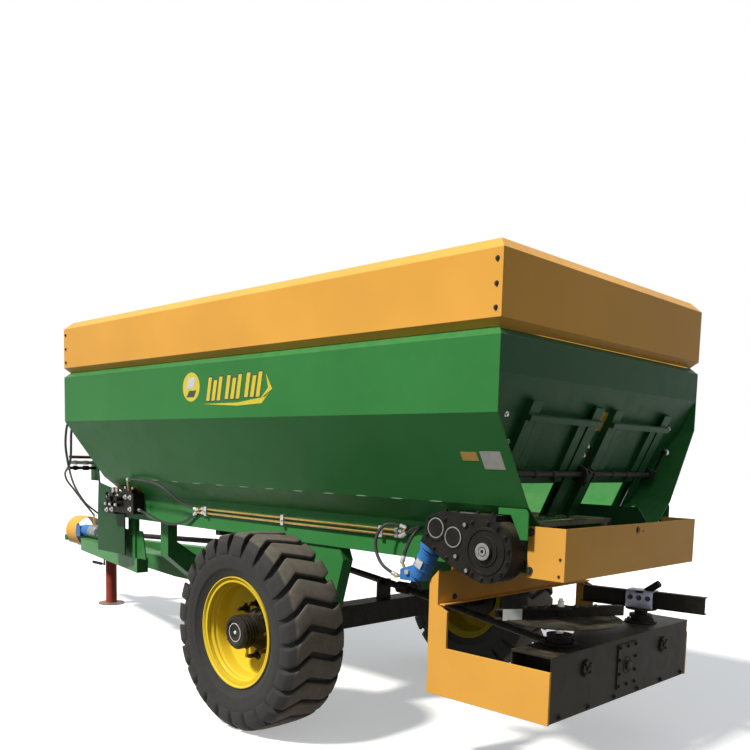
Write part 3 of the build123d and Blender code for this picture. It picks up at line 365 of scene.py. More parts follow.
def add_round(shape, at, way, radius, height, tip=None, segments=32):
    """Round bar or cone that stands on a surface."""
    place = Matrix.Translation(at) @ turned_to(way) @ Matrix.Translation((0, 0, height / 2))
    bmesh.ops.create_cone(
        shape, cap_ends=True, segments=segments, radius1=radius, radius2=radius if tip is None else tip,
        depth=height, matrix=place,
    )


def add_ring(shape, at, way, outer, inner, height, segments=40):
    """Flat ring that stands on a surface."""
    place = Matrix.Translation(at) @ turned_to(way)
    edge = bmesh.ops.create_circle(shape, cap_ends=False, radius=outer, segments=segments, matrix=place)["verts"]
    hole = bmesh.ops.create_circle(shape, cap_ends=False, radius=inner, segments=segments, matrix=place)["verts"]
    edges = list({e for v in edge + hole for e in v.link_edges})
    faces = bmesh.ops.bridge_loops(shape, edges=edges)["faces"]
    grown = bmesh.ops.extrude_face_region(shape, geom=faces)["geom"]
    moved = [v for v in grown if isinstance(v, bmesh.types.BMVert)]
    bmesh.ops.translate(shape, verts=moved, vec=Vector(way).normalized() * height)


def bare_metal(name, colour, roughness=0.42, mottle=0.3, metallic=1.0):
    """Zinc-plated or oiled steel, darker in patches where hands, dust and weather have dulled it."""
    material = bpy.data.materials.new(name)
    material.use_nodes = True
    tree = material.node_tree
    shader = tree.nodes["Principled BSDF"]
    place = add_node(tree, "ShaderNodeTexCoord").outputs["Object"]
    patches = add_node(tree, "ShaderNodeTexNoise", {"Vector": place, "Scale": 1 / 0.03, "Detail": 6.0})
    tone = add_node(tree, "ShaderNodeMapRange", {0: patches.outputs[0], 1: 0.3, 2: 0.7, 3: 1 - mottle, 4: 1.05})
    surface = add_node(
        tree, "ShaderNodeVectorMath", {0: linear(colour)[:3], "Scale": tone.outputs[0]}, operation="SCALE"
    )
    tree.links.new(surface.outputs[0], shader.inputs["Base Color"])
    worn = add_node(
        tree, "ShaderNodeMapRange",
        {0: patches.outputs[0], 1: 0.3, 2: 0.7, 3: roughness + 0.15, 4: roughness - 0.08},
    )
    tree.links.new(worn.outputs[0], shader.inputs["Roughness"])
    shader.inputs["Metallic"].default_value = metallic
    return material


dark_bolt = bare_metal("blackened_bolt_steel", "#3A3632", 0.5, metallic=0.5)
silver = bare_metal("white_zinc_plated_steel", "#CFCFCA", 0.4, metallic=0.6)
panel_low, panel_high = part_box("extension_left")
corner_inset, bolt_size = 0.036, 0.014
shape = bmesh.new()
for height in (2.466, 2.578, 2.694):
    for x in (panel_low[0] + corner_inset, panel_high[0] - corner_inset):
        for side in (1, -1):
            add_bolt(shape, (x, side * panel_high[1], height), (0, side, 0), bolt_size)
add_piece(shape, "extension_bolts", dark_bolt, sharp=25)


# ---------------------------------------------------------------- gates
# Two sheet gates with channel ribs slide up the rear wall between guides, drawn by a dark cross shaft
# with a ratchet in its middle and a hand lever at its right end.
# The rear wall, the gates, their frame, the rear brackets and the valve plate take a darker copy of the green
# enamel: painted shade for the shade that falls on them.
green_with_painted_shade = enamel("green_enamel_darkened_as_painted_shade", "#245230", dust=0.12)
coat(green_with_painted_shade, "hopper_rear_wall", "gate_left", "gate_right", "gate_frame")
coat(green_with_painted_shade, "rear_brackets", "valve_plate")
black = enamel("black_enamel_on_steel", "#262421", dust=0.30, roughness=0.45)
coat(black, "gate_shaft")
rake, bend_z = 0.47, 2.080
wall_out = Vector((-1, 0, -rake)).normalized()
wall_up = Vector((-rake, 0, 1)).normalized()


def on_rear(lift, y, z):
    """Place over the sloping rear wall, lifted off it."""
    return spot(rake * (bend_z - z), y, z) + wall_out * lift


shaft_z, shaft_lift = 1.612, 0.061
shape = bmesh.new()
for y in (0.83, 0.0, -0.83):
    add_round(shape, on_rear(shaft_lift, y - 0.028, shaft_z), (0, 1, 0), 0.030, 0.056)
for y, radius, width in ((0.036, 0.050, 0.016), (0.012, 0.042, 0.010), (-0.030, 0.040, 0.012)):
    add_round(shape, on_rear(shaft_lift, y, shaft_z), (0, 1, 0), radius, width, segments=14)
for y in (0.49, 0.31, -0.36, -0.54):
    add_round(shape, on_rear(shaft_lift, y, shaft_z), (0, 1, 0), 0.021, 0.05)
add_panel(shape, on_rear(0.012, 0.052, 1.690), wall_up, (0, -1, 0), (0.16, 0.012, 0.04))
add_panel(shape, on_rear(0.012, -0.052, 1.665), wall_up, (0, -1, 0), (0.19, 0.012, 0.05))
soften(shape, 0.002)
add_piece(shape, "gate_shaft_collars", black)
shape = bmesh.new()
for y, z in ((0.800, 1.756), (-0.907, 1.89), (0.908, 1.89), (0.0, 1.754), (0.0, 1.700)):
    add_bolt(shape, on_rear(0.0, y, z), wall_out, 0.016)
knob = on_rear(shaft_lift, -0.90, 1.762)
bmesh.ops.create_uvsphere(shape, u_segments=20, v_segments=12, radius=0.021, matrix=Matrix.Translation(knob))
add_piece(shape, "rear_wall_bolts", silver, sharp=30)
shape = bmesh.new()
add_panel(shape, on_rear(0.0, -0.018, 1.897), (0, -1, 0), wall_up, (0.092, 0.118, 0.0008))
add_piece(shape, "blank_gate_label", label_yellow)
shape = bmesh.new()
for y in (0.1595, -0.6895):
    add_panel(shape, on_rear(0.036, y, 1.44), wall_up, wall_out, (0.17, 0.003, 0.0008))
add_piece(shape, "guide_bare_edges", silver)


# ---------------------------------------------------------------- chassis and moving floor
# Two box beams with welded crossmembers, and a floor swept by scraper bars on two chains.
coat(green, "chassis_beam_left", "chassis_beam_right", "chassis_crossmembers", "conveyor_floor", "axle_hangers")
coat(green, "drawbar", "drawbar_arms", "subframe_post", "hitch_eye")
steel = bare_metal("worn_conveyor_steel", "#6C665C", 0.45, 0.5)
coat(steel, "conveyor_chain", "conveyor_slats", "conveyor_drive_shaft", "conveyor_idler_shaft")


# ---------------------------------------------------------------- wheels
# Wide earthmover tyres with zigzag bars on yellow rims. The rim is a rolled barrel with a dished
# disc, held by long black nuts round a ribbed hub. The hub's cap is plain.
def rubber(name):
    """Carbon-black tyre rubber: dark and dull, brown with dust where the bars meet the road."""
    material = bpy.data.materials.new(name)
    material.use_nodes = True
    tree = material.node_tree
    shader = tree.nodes["Principled BSDF"]
    place = add_node(tree, "ShaderNodeTexCoord").outputs["Object"]
    wheel = add_node(tree, "ShaderNodeMapping", {"Vector": place, "Location": (-axle[0], 0.0, -axle[2])})
    parts = add_node(tree, "ShaderNodeSeparateXYZ", {0: wheel.outputs[0]})
    flat = add_node(tree, "ShaderNodeCombineXYZ", {0: parts.outputs[0], 2: parts.outputs[2]})
    radius = add_node(tree, "ShaderNodeVectorMath", {0: flat.outputs[0]}, operation="LENGTH").outputs["Value"]
    worn = add_node(tree, "ShaderNodeMapRange", {0: radius, 1: tyre_radius - 0.02, 2: tyre_radius - 0.008})
    cloud = add_node(
        tree, "ShaderNodeTexNoise", {"Vector": place, "Scale": 1 / 0.06, "Detail": 8.0, "Roughness": 0.6}
    )
    dusty = add_node(tree, "ShaderNodeMapRange", {0: cloud.outputs[0], 1: 0.3, 2: 0.7, 3: 0.55, 4: 1.0})
    amount = add_node(tree, "ShaderNodeMath", {0: worn.outputs[0], 1: dusty.outputs[0]}, operation="MULTIPLY")
    wall = add_node(
        tree, "ShaderNodeMix", {0: cloud.outputs[0], 6: linear("#1E1E1D"), 7: linear("#353432")}, data_type="RGBA"
    )
    surface = add_node(
        tree, "ShaderNodeMix", {0: amount.outputs[0], 6: wall.outputs[2], 7: linear("#746C61")}, data_type="RGBA"
    )
    tree.links.new(surface.outputs[2], shader.inputs["Base Color"])
    shader.inputs["Roughness"].default_value = 0.78
    shader.inputs["Specular IOR Level"].default_value = 0.35
    grain = add_node(tree, "ShaderNodeTexNoise", {"Vector": place, "Scale": 1 / 0.007, "Detail": 4.0})
    bump = add_node(tree, "ShaderNodeBump", {"Strength": 0.25, "Distance": 0.002, "Height": grain.outputs[0]})
    tree.links.new(bump.outputs[0], shader.inputs["Normal"])
    return material


def point_on(line, share):
    """Point a share of the way along a line of points, which runs through 0 to 1."""
    lengths = [hypot(b[0] - a[0], b[1] - a[1]) for a, b in zip(line, line[1:])]
    left = share * sum(lengths)
    for (a, b), length in zip(zip(line, line[1:]), lengths):
        if left <= length:
            t = left / length
            return a[0] + (b[0] - a[0]) * t, a[1] + (b[1] - a[1]) * t
        left -= length
    return line[-1]


def spun(profile, segments, closed=False):
    """Body of revolution about the Y axis, from (y, radius) points."""
    shape = bmesh.new()
    ring = [shape.verts.new((0, y, r)) for y, r in profile]
    ends = zip(ring, ring[1:] + ring[:1]) if closed else zip(ring, ring[1:])
    edges = [shape.edges.new(pair) for pair in ends]
    bmesh.ops.spin(
        shape, geom=ring + edges, cent=(0, 0, 0), axis=(0, 1, 0), angle=2 * pi, steps=segments, use_merge=True
    )
    bmesh.ops.remove_doubles(shape, verts=shape.verts, dist=1e-5)
    return shape


def join(shape, other):
    """Adds another bmesh's faces."""
    mesh = bpy.data.meshes.new("joining")
    other.to_mesh(mesh)
    other.free()
    shape.from_mesh(mesh)
    bpy.data.meshes.remove(mesh)


tyre_low, tyre_high = (Vector(c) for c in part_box("tyre_left"))
axle = (tyre_low + tyre_high) / 2
tyre_radius = (tyre_high.x - tyre_low.x) / 2
tyre_half = (tyre_high.y - tyre_low.y) / 2
carcass_radius, tread_half, bead_radius, bead_half = 0.581, 0.178, 0.315, 0.171
bars, bar_width = 24, 0.118


def zigzag(across):
    """How far round the tread a bar's middle line is, from the inner shoulder over two bends."""
    line = ((-tyre_half, 0.116), (-0.118, 0.055), (0.076, 0.113), (tyre_half, 0.0))
    for (a, b), (c, d) in zip(line, line[1:]):
        if across <= c:
            return b + (d - b) * (across - a) / (c - a) - 0.074
    return line[-1][1] - 0.074


def tread_bar():
    """One bar: a strip laid over the tread and down both shoulders, then sunk into the carcass."""
    outer = [(0, tyre_radius), (tread_half * 0.6, tyre_radius - 0.002), (tread_half, tyre_radius - 0.009),
             (tyre_half - 0.006, tyre_radius - 0.053), (tyre_half, tyre_radius - 0.100), (tyre_half - 0.004, 0.494)]
    inner = [(0, carcass_radius - 0.01), (tread_half - 0.02, carcass_radius - 0.012), (tyre_half - 0.03, 0.530),
             (tyre_half - 0.022, 0.515), (tyre_half - 0.02, 0.489)]
    shape = bmesh.new()
    bmesh.ops.create_grid(shape, x_segments=44, y_segments=4, size=1)
    top = {v: (v.co.x, v.co.y) for v in shape.verts}
    extruded = bmesh.ops.extrude_face_region(shape, geom=list(shape.faces))["geom"]
    bottom = {v: (v.co.x, v.co.y) for v in extruded if isinstance(v, bmesh.types.BMVert)}
    for level, line in ((bottom, inner), (top, outer)):
        for v, (share, along) in level.items():
            s, r = point_on(line, abs(share))
            s = s if share > 0 else -s
            width = bar_width / 2 * (1.0 if line is outer else 1.14)
            turn = (zigzag(s) + along * width) / tyre_radius
            v.co = (r * sin(turn), s, r * cos(turn))
    bmesh.ops.recalc_face_normals(shape, faces=shape.faces)
    soften(shape, 0.006, 40, 2)
    return shape


def tyre_shape():
    walls = [(bead_half, bead_radius + 0.001), (bead_half, 0.353), (0.190, 0.378), (0.202, 0.404), (0.207, 0.407),
             (0.211, 0.422), (0.211, 0.430), (0.216, 0.445), (0.218, 0.478), (0.213, 0.514), (0.203, 0.538),
             (0.185, 0.562), (0.160, 0.579), (0.105, carcass_radius), (0.0, carcass_radius + 0.001)]
    profile = walls + [(-y, r) for y, r in reversed(walls[:-1])]
    shape = spun(profile, 120, closed=True)
    bar = tread_bar()
    bar_mesh = bpy.data.meshes.new("tread bar")
    bar.to_mesh(bar_mesh)
    bar.free()
    for i in range(bars):
        copy = bmesh.new()
        copy.from_mesh(bar_mesh)
        turn = Matrix.Rotation(2 * pi * i / bars, 3, "Y")
        bmesh.ops.rotate(copy, verts=copy.verts, cent=(0, 0, 0), matrix=turn)
        join(shape, copy)
    bpy.data.meshes.remove(bar_mesh)
    return shape


def rim_shape():
    """Flange, rolled bead seat, lock ring, deep well and the dished disc in its middle."""
    out = 0.184
    profile = [
        (out, 0.351), (out, 0.344), (out - 0.005, 0.338), (out - 0.016, 0.333), (out - 0.030, 0.322),
        (out - 0.044, 0.306), (out - 0.052, 0.300), (out - 0.058, 0.3005), (out - 0.066, 0.3005),
        (out - 0.072, 0.294), (out - 0.082, 0.290), (0.070, 0.288), (0.042, 0.286), (0.034, 0.280), (0.030, 0.262),
        (0.017, 0.232), (0.004, 0.212), (0.0, 0.200), (0.0, 0.1075), (-0.012, 0.1075), (-0.012, 0.206),
        (0.004, 0.234), (0.016, 0.262), (0.018, 0.290), (-0.02, 0.294), (-out + 0.03, 0.304), (-out + 0.006, 0.335),
        (-out, 0.342), (-out, 0.351), (-out + 0.012, 0.351), (-out + 0.012, 0.3145), (out - 0.012, 0.3145),
        (out - 0.012, 0.351),
    ]
    return spun(profile, 128, closed=True)


def hub_shape():
    """Ribbed barrel with a conical root on the disc and a flange behind it."""
    profile = [(0.178, 0.0), (0.178, 0.070), (0.180, 0.073), (0.185, 0.075), (0.185, 0.086), (0.179, 0.098),
               (0.171, 0.101)]
    for i in range(4):
        y = 0.167 - i * 0.022
        profile += [(y, 0.107), (y - 0.010, 0.107), (y - 0.012, 0.097), (y - 0.020, 0.097)]
    profile += [(0.076, 0.104), (0.050, 0.107), (0.030, 0.109), (0.012, 0.121), (0.0005, 0.134), (0.0005, 0.107),
                (-0.0125, 0.107), (-0.0125, 0.195), (-0.034, 0.195), (-0.034, 0.102), (-0.205, 0.102),
                (-0.205, 0.0471), (0.050, 0.0471), (0.054, 0.0)]
    return spun(profile, 96)


tyre_rubber = rubber("tyre_rubber")
rim_yellow = enamel("rim_enamel_on_rolled_steel", "#EDCE33", dust=0.14)
hub_black = enamel("black_enamel_on_casting", "#1B1A19", dust=0.25, roughness=0.42)
rust = enamel("red_primer_on_stud_ends", "#5A3526", roughness=0.6)
studs, stud_circle = 8, 0.168
for word, side in (("left", 1), ("right", -1)):
    body = f"wheel_{word}"
    centre = Matrix.Translation((axle.x, side * axle.y, axle.z)) @ Matrix.Diagonal((1, side, 1, 1))
    for name, made, material, slot, sharp in (
        ("tyre", tyre_shape(), tyre_rubber, "tyre_rubber", 38),
        ("rim", rim_shape(), rim_yellow, "rim_paint", 32),
        ("hub", hub_shape(), hub_black, "black_paint", 35),
    ):
        bmesh.ops.transform(made, matrix=centre, verts=made.verts)
        add_piece(made, f"{name}_{word}_formed", material, body, sharp, (f"{name}_{word}",))
    nuts, tips, ring = bmesh.new(), bmesh.new(), bmesh.new()
    outward = (0, side, 0)
    for i in range(studs):
        turn = 2 * pi * i / studs
        foot = centre @ Vector((stud_circle * sin(turn), 0.0, stud_circle * cos(turn)))
        add_bolt(nuts, foot, outward, 0.036)
        add_round(nuts, foot, outward, 0.0135, 0.066, segments=20)
        add_round(tips, foot + Vector((0, side * 0.066, 0)), outward, 0.0135, 0.012, 0.009, 20)
    stem = centre @ Vector((0.235, 0.03, -0.10))
    add_round(nuts, stem, (0.5, side, -0.2), 0.005, 0.035, segments=12)
    add_piece(nuts, f"wheel_nuts_{word}", hub_black, body, 25)
    add_piece(tips, f"stud_ends_{word}", rust, body, 25)
    add_ring(ring, centre @ Vector((0, 0.1785, 0)), outward, 0.060, 0.055, 0.003)
    add_round(ring, centre @ Vector((0, 0.1785, 0)), outward, 0.012, 0.004, 0.009, 24)
    add_piece(ring, f"hub_cap_ring_{word}", silver, body, 30)


# ---------------------------------------------------------------- axle
# Square tube in black enamel under the beams, with the drive shaft over it.
coat(black, "axle_beam", "driveline")


# ---------------------------------------------------------------- parking jack
# Red leg in a dark sleeve beside the drawbar, wound by a bent crank with a black grip. The foot is
# bare steel where the paint has gone.
red = enamel("red_enamel_on_tube", "#A84236")
coat(red, "jack_leg")
coat(black, "jack_sleeve")
jack_x, jack_y, sleeve_top = 6.278, -0.200, 0.950
shape = bmesh.new()
for z in (0.53, 0.63):
    add_ring(shape, spot(jack_x, jack_y, z), (0, 0, 1), 0.076, 0.0702, 0.016)
add_round(shape, spot(jack_x, jack_y, sleeve_top), (0, 0, 1), 0.070, 0.012, 0.058)
add_bolt(shape, spot(jack_x, jack_y, sleeve_top + 0.012), (0, 0, 1), 0.028)
soften(shape, 0.0015)
add_piece(shape, "jack_sleeve_rings", dark_bolt)
foot_low, foot_high = (Vector(c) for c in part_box("jack_leg"))
foot_radius, foot_sheet, leg_radius = (foot_high.x - foot_low.x) / 2, 0.014, 0.060
foot = Vector(((foot_low.x + foot_high.x) / 2, (foot_low.y + foot_high.y) / 2, foot_low.z))
foot_steel = bare_metal("scuffed_foot_steel", "#9A8F86", 0.6, metallic=0.5)
shape = bmesh.new()
top = foot + Vector((0, 0, foot_sheet))
edge = foot + Vector((0, 0, 0.0005))
add_ring(shape, top, (0, 0, 1), foot_radius - 0.0005, leg_radius + 0.001, 0.0006, 64)
add_ring(shape, edge, (0, 0, 1), foot_radius + 0.0006, foot_radius - 0.0005, 0.0141, 64)
add_piece(shape, "jack_foot_scuffed_face", foot_steel, "jack", 30)


# ---------------------------------------------------------------- power take-off
# Yellow tube over the splined shaft, a transfer gearbox behind it and a blue gear pump with a plain
# aluminium rear body.
coat(yellow, "pto_guard")
blue = enamel("blue_enamel_on_casting", "#3F7CC0")
coat(blue, "pump", "motor")
alloy = bare_metal("cast_aluminium", "#B4B6B8", 0.5, metallic=0.6)
shape = bmesh.new()
pump_axis = spot(5.937, 0.110, 0.770)
add_round(shape, pump_axis, (1, 0, 0), 0.0655, 0.150)
for i in range(4):
    add_ring(shape, pump_axis + Vector((0.02 + i * 0.035, 0, 0)), (1, 0, 0), 0.070, 0.064, 0.012)
for turn in range(4):
    angle = pi / 4 + turn * pi / 2
    add_bolt(shape, pump_axis + Vector((0, 0.045 * cos(angle), 0.045 * sin(angle))), (-1, 0, 0), 0.018)
soften(shape, 0.002)
add_piece(shape, "pump_rear_body", alloy)
shape = bmesh.new()
gearbox = spot(6.340, 0.06, 0.7725)
for y in (-0.095, 0.095):
    for z in (-0.05, 0.05):
        add_bolt(shape, gearbox + Vector((0, y, z)), (1, 0, 0), 0.020)
splines, spline_circle = 8, 0.0145
for i in range(splines):
    angle = 2 * pi * i / splines
    spline = spot(6.44, spline_circle * cos(angle), 0.740 + spline_circle * sin(angle))
    add_round(shape, spline, (1, 0, 0), 0.003, 0.069, segments=6)
add_piece(shape, "gearbox_bolts_and_splines", silver, sharp=25)


# ---------------------------------------------------------------- valves
# Black control block bolted to a plate on the beam, with plated adaptors, and the bars ahead of it on
# which loose couplings are parked.
cast_black = enamel("black_enamel_on_iron_casting", "#1D1C1B", dust=0.3, roughness=0.4)
coat(cast_black, "valve_block")
shape = bmesh.new()
for x, z in ((4.30, 1.18), (4.40, 1.18), (4.48, 1.18)):
    add_round(shape, spot(x, 0.790, z), (0, 1, 0), 0.014, 0.014, 0.011, 20)
for x, z in ((4.12, 1.25), (4.20, 1.25), (4.12, 1.15), (4.34, 1.25), (4.50, 1.24), (4.44, 1.13), (4.53, 1.12)):
    add_bolt(shape, spot(x, 0.755, z), (0, 1, 0), 0.024)
for x in (4.11, 4.17, 4.23):
    add_round(shape, spot(x, 0.735, 1.320), (0, 0, 1), 0.013, 0.022, segments=6)
for x in (4.43, 4.50):
    add_round(shape, spot(x, 0.705, 1.270), (0, 0, 1), 0.016, 0.040, segments=20)
    add_round(shape, spot(x, 0.705, 1.310), (0, 0, 1), 0.020, 0.014, segments=6)
soften(shape, 0.001)
add_piece(shape, "valve_adaptors", silver, sharp=25)
shape = bmesh.new()
for x in (4.34, 4.46):
    add_panel(shape, spot(x, 0.789, 1.215), (0, 0, 1), (0, 1, 0), (0.105, 0.012, 0.012))
    knob_place = Matrix.Translation(spot(x - 0.006, 0.795, 1.275))
    bmesh.ops.create_uvsphere(shape, u_segments=16, v_segments=10, radius=0.014, matrix=knob_place)
add_round(shape, spot(4.40, 0.755, 1.235), (0, 1, 0), 0.026, 0.050)
add_round(shape, spot(4.26, 0.755, 1.235), (0, 1, 0), 0.022, 0.060)
soften(shape, 0.0015)
add_piece(shape, "valve_spools", cast_black)
# The upper bar's brown is painted shade: it stands for yellow paint in shade.
brown = enamel("brown_on_bar_as_painted_shade", "#6A4A38", roughness=0.6)
coupling_bars_x = 4.945
for name, z, radius, material, knob in (
    ("upper", 1.58, 0.0135, brown, 0.0),
    ("middle", 1.53, 0.0155, silver, 0.019),
    ("lower", 1.48, 0.0135, black, 0.022),
):
    shape = bmesh.new()
    add_round(shape, spot(coupling_bars_x, 0.656, z), (0, 1, 0), radius, 0.244)
    if knob:
        add_round(shape, spot(coupling_bars_x, 0.72, z), (0, 1, 0), knob, 0.05, segments=12)
        add_round(shape, spot(coupling_bars_x, 0.83, z), (0, 1, 0), knob, 0.03, segments=12)
    soften(shape, 0.001)
    add_piece(shape, f"coupling_bar_{name}", material)


# ---------------------------------------------------------------- pipes
# Two drawn steel pipes, plated yellow, along the left beam in clamps, with a plated union at each end.
brass = bare_metal("yellow_zinc_plated_pipe", "#B79A5B", 0.35, metallic=0.7)
coat(brass, "hydraulic_pipes")
coat(silver, "pipe_clamps")
shape = bmesh.new()
for z in (1.212, 1.180):
    for x in (1.004, 1.040, 3.112, 3.140):
        add_round(shape, spot(x, 0.662, z), (1, 0, 0), 0.0155, 0.024, segments=6)
for x in (1.180, 2.150, 3.100):
    add_bolt(shape, spot(x, 0.678, 1.196), (0, 1, 0), 0.014)
add_piece(shape, "pipe_unions", silver, sharp=25)


# ---------------------------------------------------------------- hoses
# Rubber hydraulic hoses on plated ferrules, from the pump over the front wall and from the valves to
# the pipes and the motor. Their points are the CAD's own, forward of the hopper's rear face.
def hose_cover(name):
    """Black synthetic rubber with the faint print of the cloth that it was cured in."""
    material = bpy.data.materials.new(name)
    material.use_nodes = True
    tree = material.node_tree
    shader = tree.nodes["Principled BSDF"]
    place = add_node(tree, "ShaderNodeTexCoord").outputs["Object"]
    dust = add_node(tree, "ShaderNodeTexNoise", {"Vector": place, "Scale": 1 / 0.05, "Detail": 6.0})
    surface = add_node(
        tree, "ShaderNodeMix", {0: dust.outputs[0], 6: linear("#0E0E0E"), 7: linear("#22201E")}, data_type="RGBA"
    )
    tree.links.new(surface.outputs[2], shader.inputs["Base Color"])
    shader.inputs["Roughness"].default_value = 0.55
    weave = add_node(tree, "ShaderNodeTexNoise", {"Vector": place, "Scale": 1 / 0.004, "Detail": 2.0})
    bump = add_node(tree, "ShaderNodeBump", {"Strength": 0.3, "Distance": 0.001, "Height": weave.outputs[0]})
    tree.links.new(bump.outputs[0], shader.inputs["Normal"])
    return material


hose_rubber = hose_cover("hose_cover_rubber")
hoses = {
    "hose_motor_front": (0.489, [
        (1.006, 0.678, 1.246), (1.054, 0.710, 1.262), (1.100, 0.750, 1.236), (1.118, 0.780, 1.168),
        (1.104, 0.790, 1.094), (1.060, 0.800, 1.034), (1.000, 0.808, 0.994), (0.932, 0.811, 0.973),
    ]),
    "hose_motor_rear": (0.406, [
        (0.974, 0.664, 1.200), (0.912, 0.664, 1.236), (0.846, 0.680, 1.256), (0.803, 0.730, 1.250),
        (0.806, 0.785, 1.213), (0.833, 0.802, 1.150), (0.853, 0.808, 1.083),
    ]),
    "hose_valve_upper": (0.823, [
        (3.985, 0.836, 1.412), (3.865, 0.844, 1.420), (3.690, 0.845, 1.414), (3.555, 0.830, 1.393),
        (3.450, 0.792, 1.338), (3.378, 0.742, 1.270), (3.312, 0.702, 1.224), (3.252, 0.676, 1.207),
    ]),
    "hose_valve_lower": (0.802, [
        (4.040, 0.704, 1.142), (3.900, 0.702, 1.120), (3.752, 0.700, 1.078), (3.595, 0.692, 1.056),
        (3.450, 0.682, 1.072), (3.345, 0.672, 1.112), (3.268, 0.665, 1.160),
    ]),
    "hose_pump_outer": (2.018, [
        (4.648, 1.030, 1.905), (4.700, 1.029, 1.880), (4.740, 1.027, 1.800), (4.764, 1.023, 1.670),
        (4.752, 1.005, 1.525), (4.860, 0.940, 1.455), (5.030, 0.848, 1.400), (5.230, 0.728, 1.318),
        (5.430, 0.600, 1.245), (5.615, 0.470, 1.170), (5.770, 0.345, 1.093), (5.850, 0.215, 1.015),
        (5.925, 0.105, 0.955),
    ]),
    "hose_pump_inner": (1.965, [
        (4.648, 0.985, 1.905), (4.692, 0.985, 1.880), (4.722, 0.988, 1.800), (4.738, 0.982, 1.680),
        (4.775, 0.968, 1.560), (4.880, 0.945, 1.480), (5.040, 0.905, 1.432), (5.215, 0.805, 1.355),
        (5.400, 0.665, 1.285), (5.585, 0.520, 1.200), (5.755, 0.385, 1.120), (5.875, 0.265, 1.040),
        (5.975, 0.165, 0.970),
    ]),
}
ferrules = bmesh.new()
for name, (length, points) in hoses.items():
    points = [spot(*p) for p in points]
    line = bpy.data.curves.new(f"{name}_laid", "CURVE")
    line.dimensions = "3D"
    line.bevel_depth = 0.010
    line.bevel_resolution = 5
    line.resolution_u = 10
    spline = line.splines.new("NURBS")
    spline.points.add(len(points) - 1)
    for point, place in zip(spline.points, points):
        point.co = (*place, 1.0)
    spline.order_u = 3
    spline.use_endpoint_u = True
    line.materials.append(hose_rubber)
    piece = bpy.data.objects.new(f"{name}_laid", line)
    scene.collection.objects.link(piece)
    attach(piece, "chassis")
    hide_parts(name)
    for end, beside in ((points[0], points[1]), (points[-1], points[-2])):
        way = (end - beside).normalized()
        add_round(ferrules, end - way * 0.004, way, 0.0138, 0.040, segments=24)
        add_round(ferrules, end + way * 0.018, way, 0.0165, 0.012, segments=6)
add_piece(ferrules, "hose_ferrules", silver, sharp=25)


# ---------------------------------------------------------------- reducer and motor
# Cast iron housing round the floor's drive, in black enamel, with pressed caps over its shafts. The
# blue motor is bolted to its lower face.
coat(cast_black, "reducer", "shaft_bearings")
near_face = 0.880
shape = bmesh.new()
for x, z in ((0.549, 1.277), (0.425, 1.236)):
    add_ring(shape, spot(x, near_face + 0.004, z), (0, 1, 0), 0.0575, 0.0505, 0.004)
end_cap = spot(0.210, near_face + 0.022, 1.179)
add_ring(shape, end_cap, (0, 1, 0), 0.046, 0.026, 0.004)
add_ring(shape, end_cap, (0, 1, 0), 0.022, 0.009, 0.006)
add_ring(shape, spot(0.210, near_face, 1.179), (0, 1, 0), 0.0795, 0.0778, 0.006, 64)
for x, z in ((0.345, 1.309), (0.401, 1.134), (0.324, 1.065)):
    add_round(shape, spot(x, near_face + 0.008, z), (0, 1, 0), 0.012, 0.006, segments=6)
add_panel(shape, spot(0.36, 0.84, 1.370), (-1, 0, 0), (0, -1, 0), (0.10, 0.05, 0.002))
soften(shape, 0.0012)
cap_steel = bare_metal("pressed_cap_steel", "#8F8F8B", 0.45, metallic=0.6)
add_piece(shape, "reducer_caps", cap_steel, sharp=30)
shape = bmesh.new()
for i in range(9):
    angle = radians(95 + i * 26)
    at = spot(0.210 + 0.150 * cos(angle), near_face, 1.179 + 0.150 * sin(angle))
    add_bolt(shape, at, (0, 1, 0), 0.019)
for x, z in ((0.60, 1.325), (0.615, 1.235), (0.487, 1.33), (0.56, 1.165), (0.47, 1.118), (0.30, 1.325)):
    add_bolt(shape, spot(x, near_face, z), (0, 1, 0), 0.017)
for x in (0.18, 0.28, 0.42, 0.50):
    add_bolt(shape, spot(x, 0.86, 1.370), (0, 0, 1), 0.019)
add_ring(shape, spot(0.210, near_face, 1.179), (0, 1, 0), 0.128, 0.112, 0.005, 64)
add_ring(shape, spot(0.549, near_face, 1.277), (0, 1, 0), 0.072, 0.062, 0.005, 48)
soften(shape, 0.0012)
add_piece(shape, "reducer_bolts", cast_black, sharp=25)

motor_axis = Vector((0.463, 0, -0.886)).normalized()
motor_start = spot(0.624, 0.812, 1.173)
shape = bmesh.new()
for along, radius, width in ((0.040, 0.0615, 0.010), (0.095, 0.0605, 0.006), (0.150, 0.0615, 0.012)):
    add_round(shape, motor_start + motor_axis * along, motor_axis, radius, width, segments=48)
across = motor_axis.cross(Vector((0, 1, 0)))
for turn in range(4):
    angle = pi / 4 + turn * pi / 2
    out = Vector((0, 1, 0)) * cos(angle) + across * sin(angle)
    add_round(shape, motor_start + out * 0.050 + motor_axis * 0.165, motor_axis, 0.009, 0.056, segments=6)
soften(shape, 0.001)
add_piece(shape, "motor_bands", blue, sharp=30)
shape = bmesh.new()
plate_middle = motor_start + motor_axis * 0.125 + Vector((0, 0.0585, 0))
add_panel(shape, plate_middle, -motor_axis, across, (0.05, 0.05, 0.0006))
for x, z in ((0.850, 0.968), (0.835, 1.000)):
    add_round(shape, spot(x - 0.012, 0.812, z), (1, 0, 0), 0.017, 0.020, segments=6)
add_round(shape, spot(0.79, 0.840, 1.00), (0, 1, 0), 0.016, 0.014, segments=6)
add_piece(shape, "motor_fittings", silver, sharp=30)


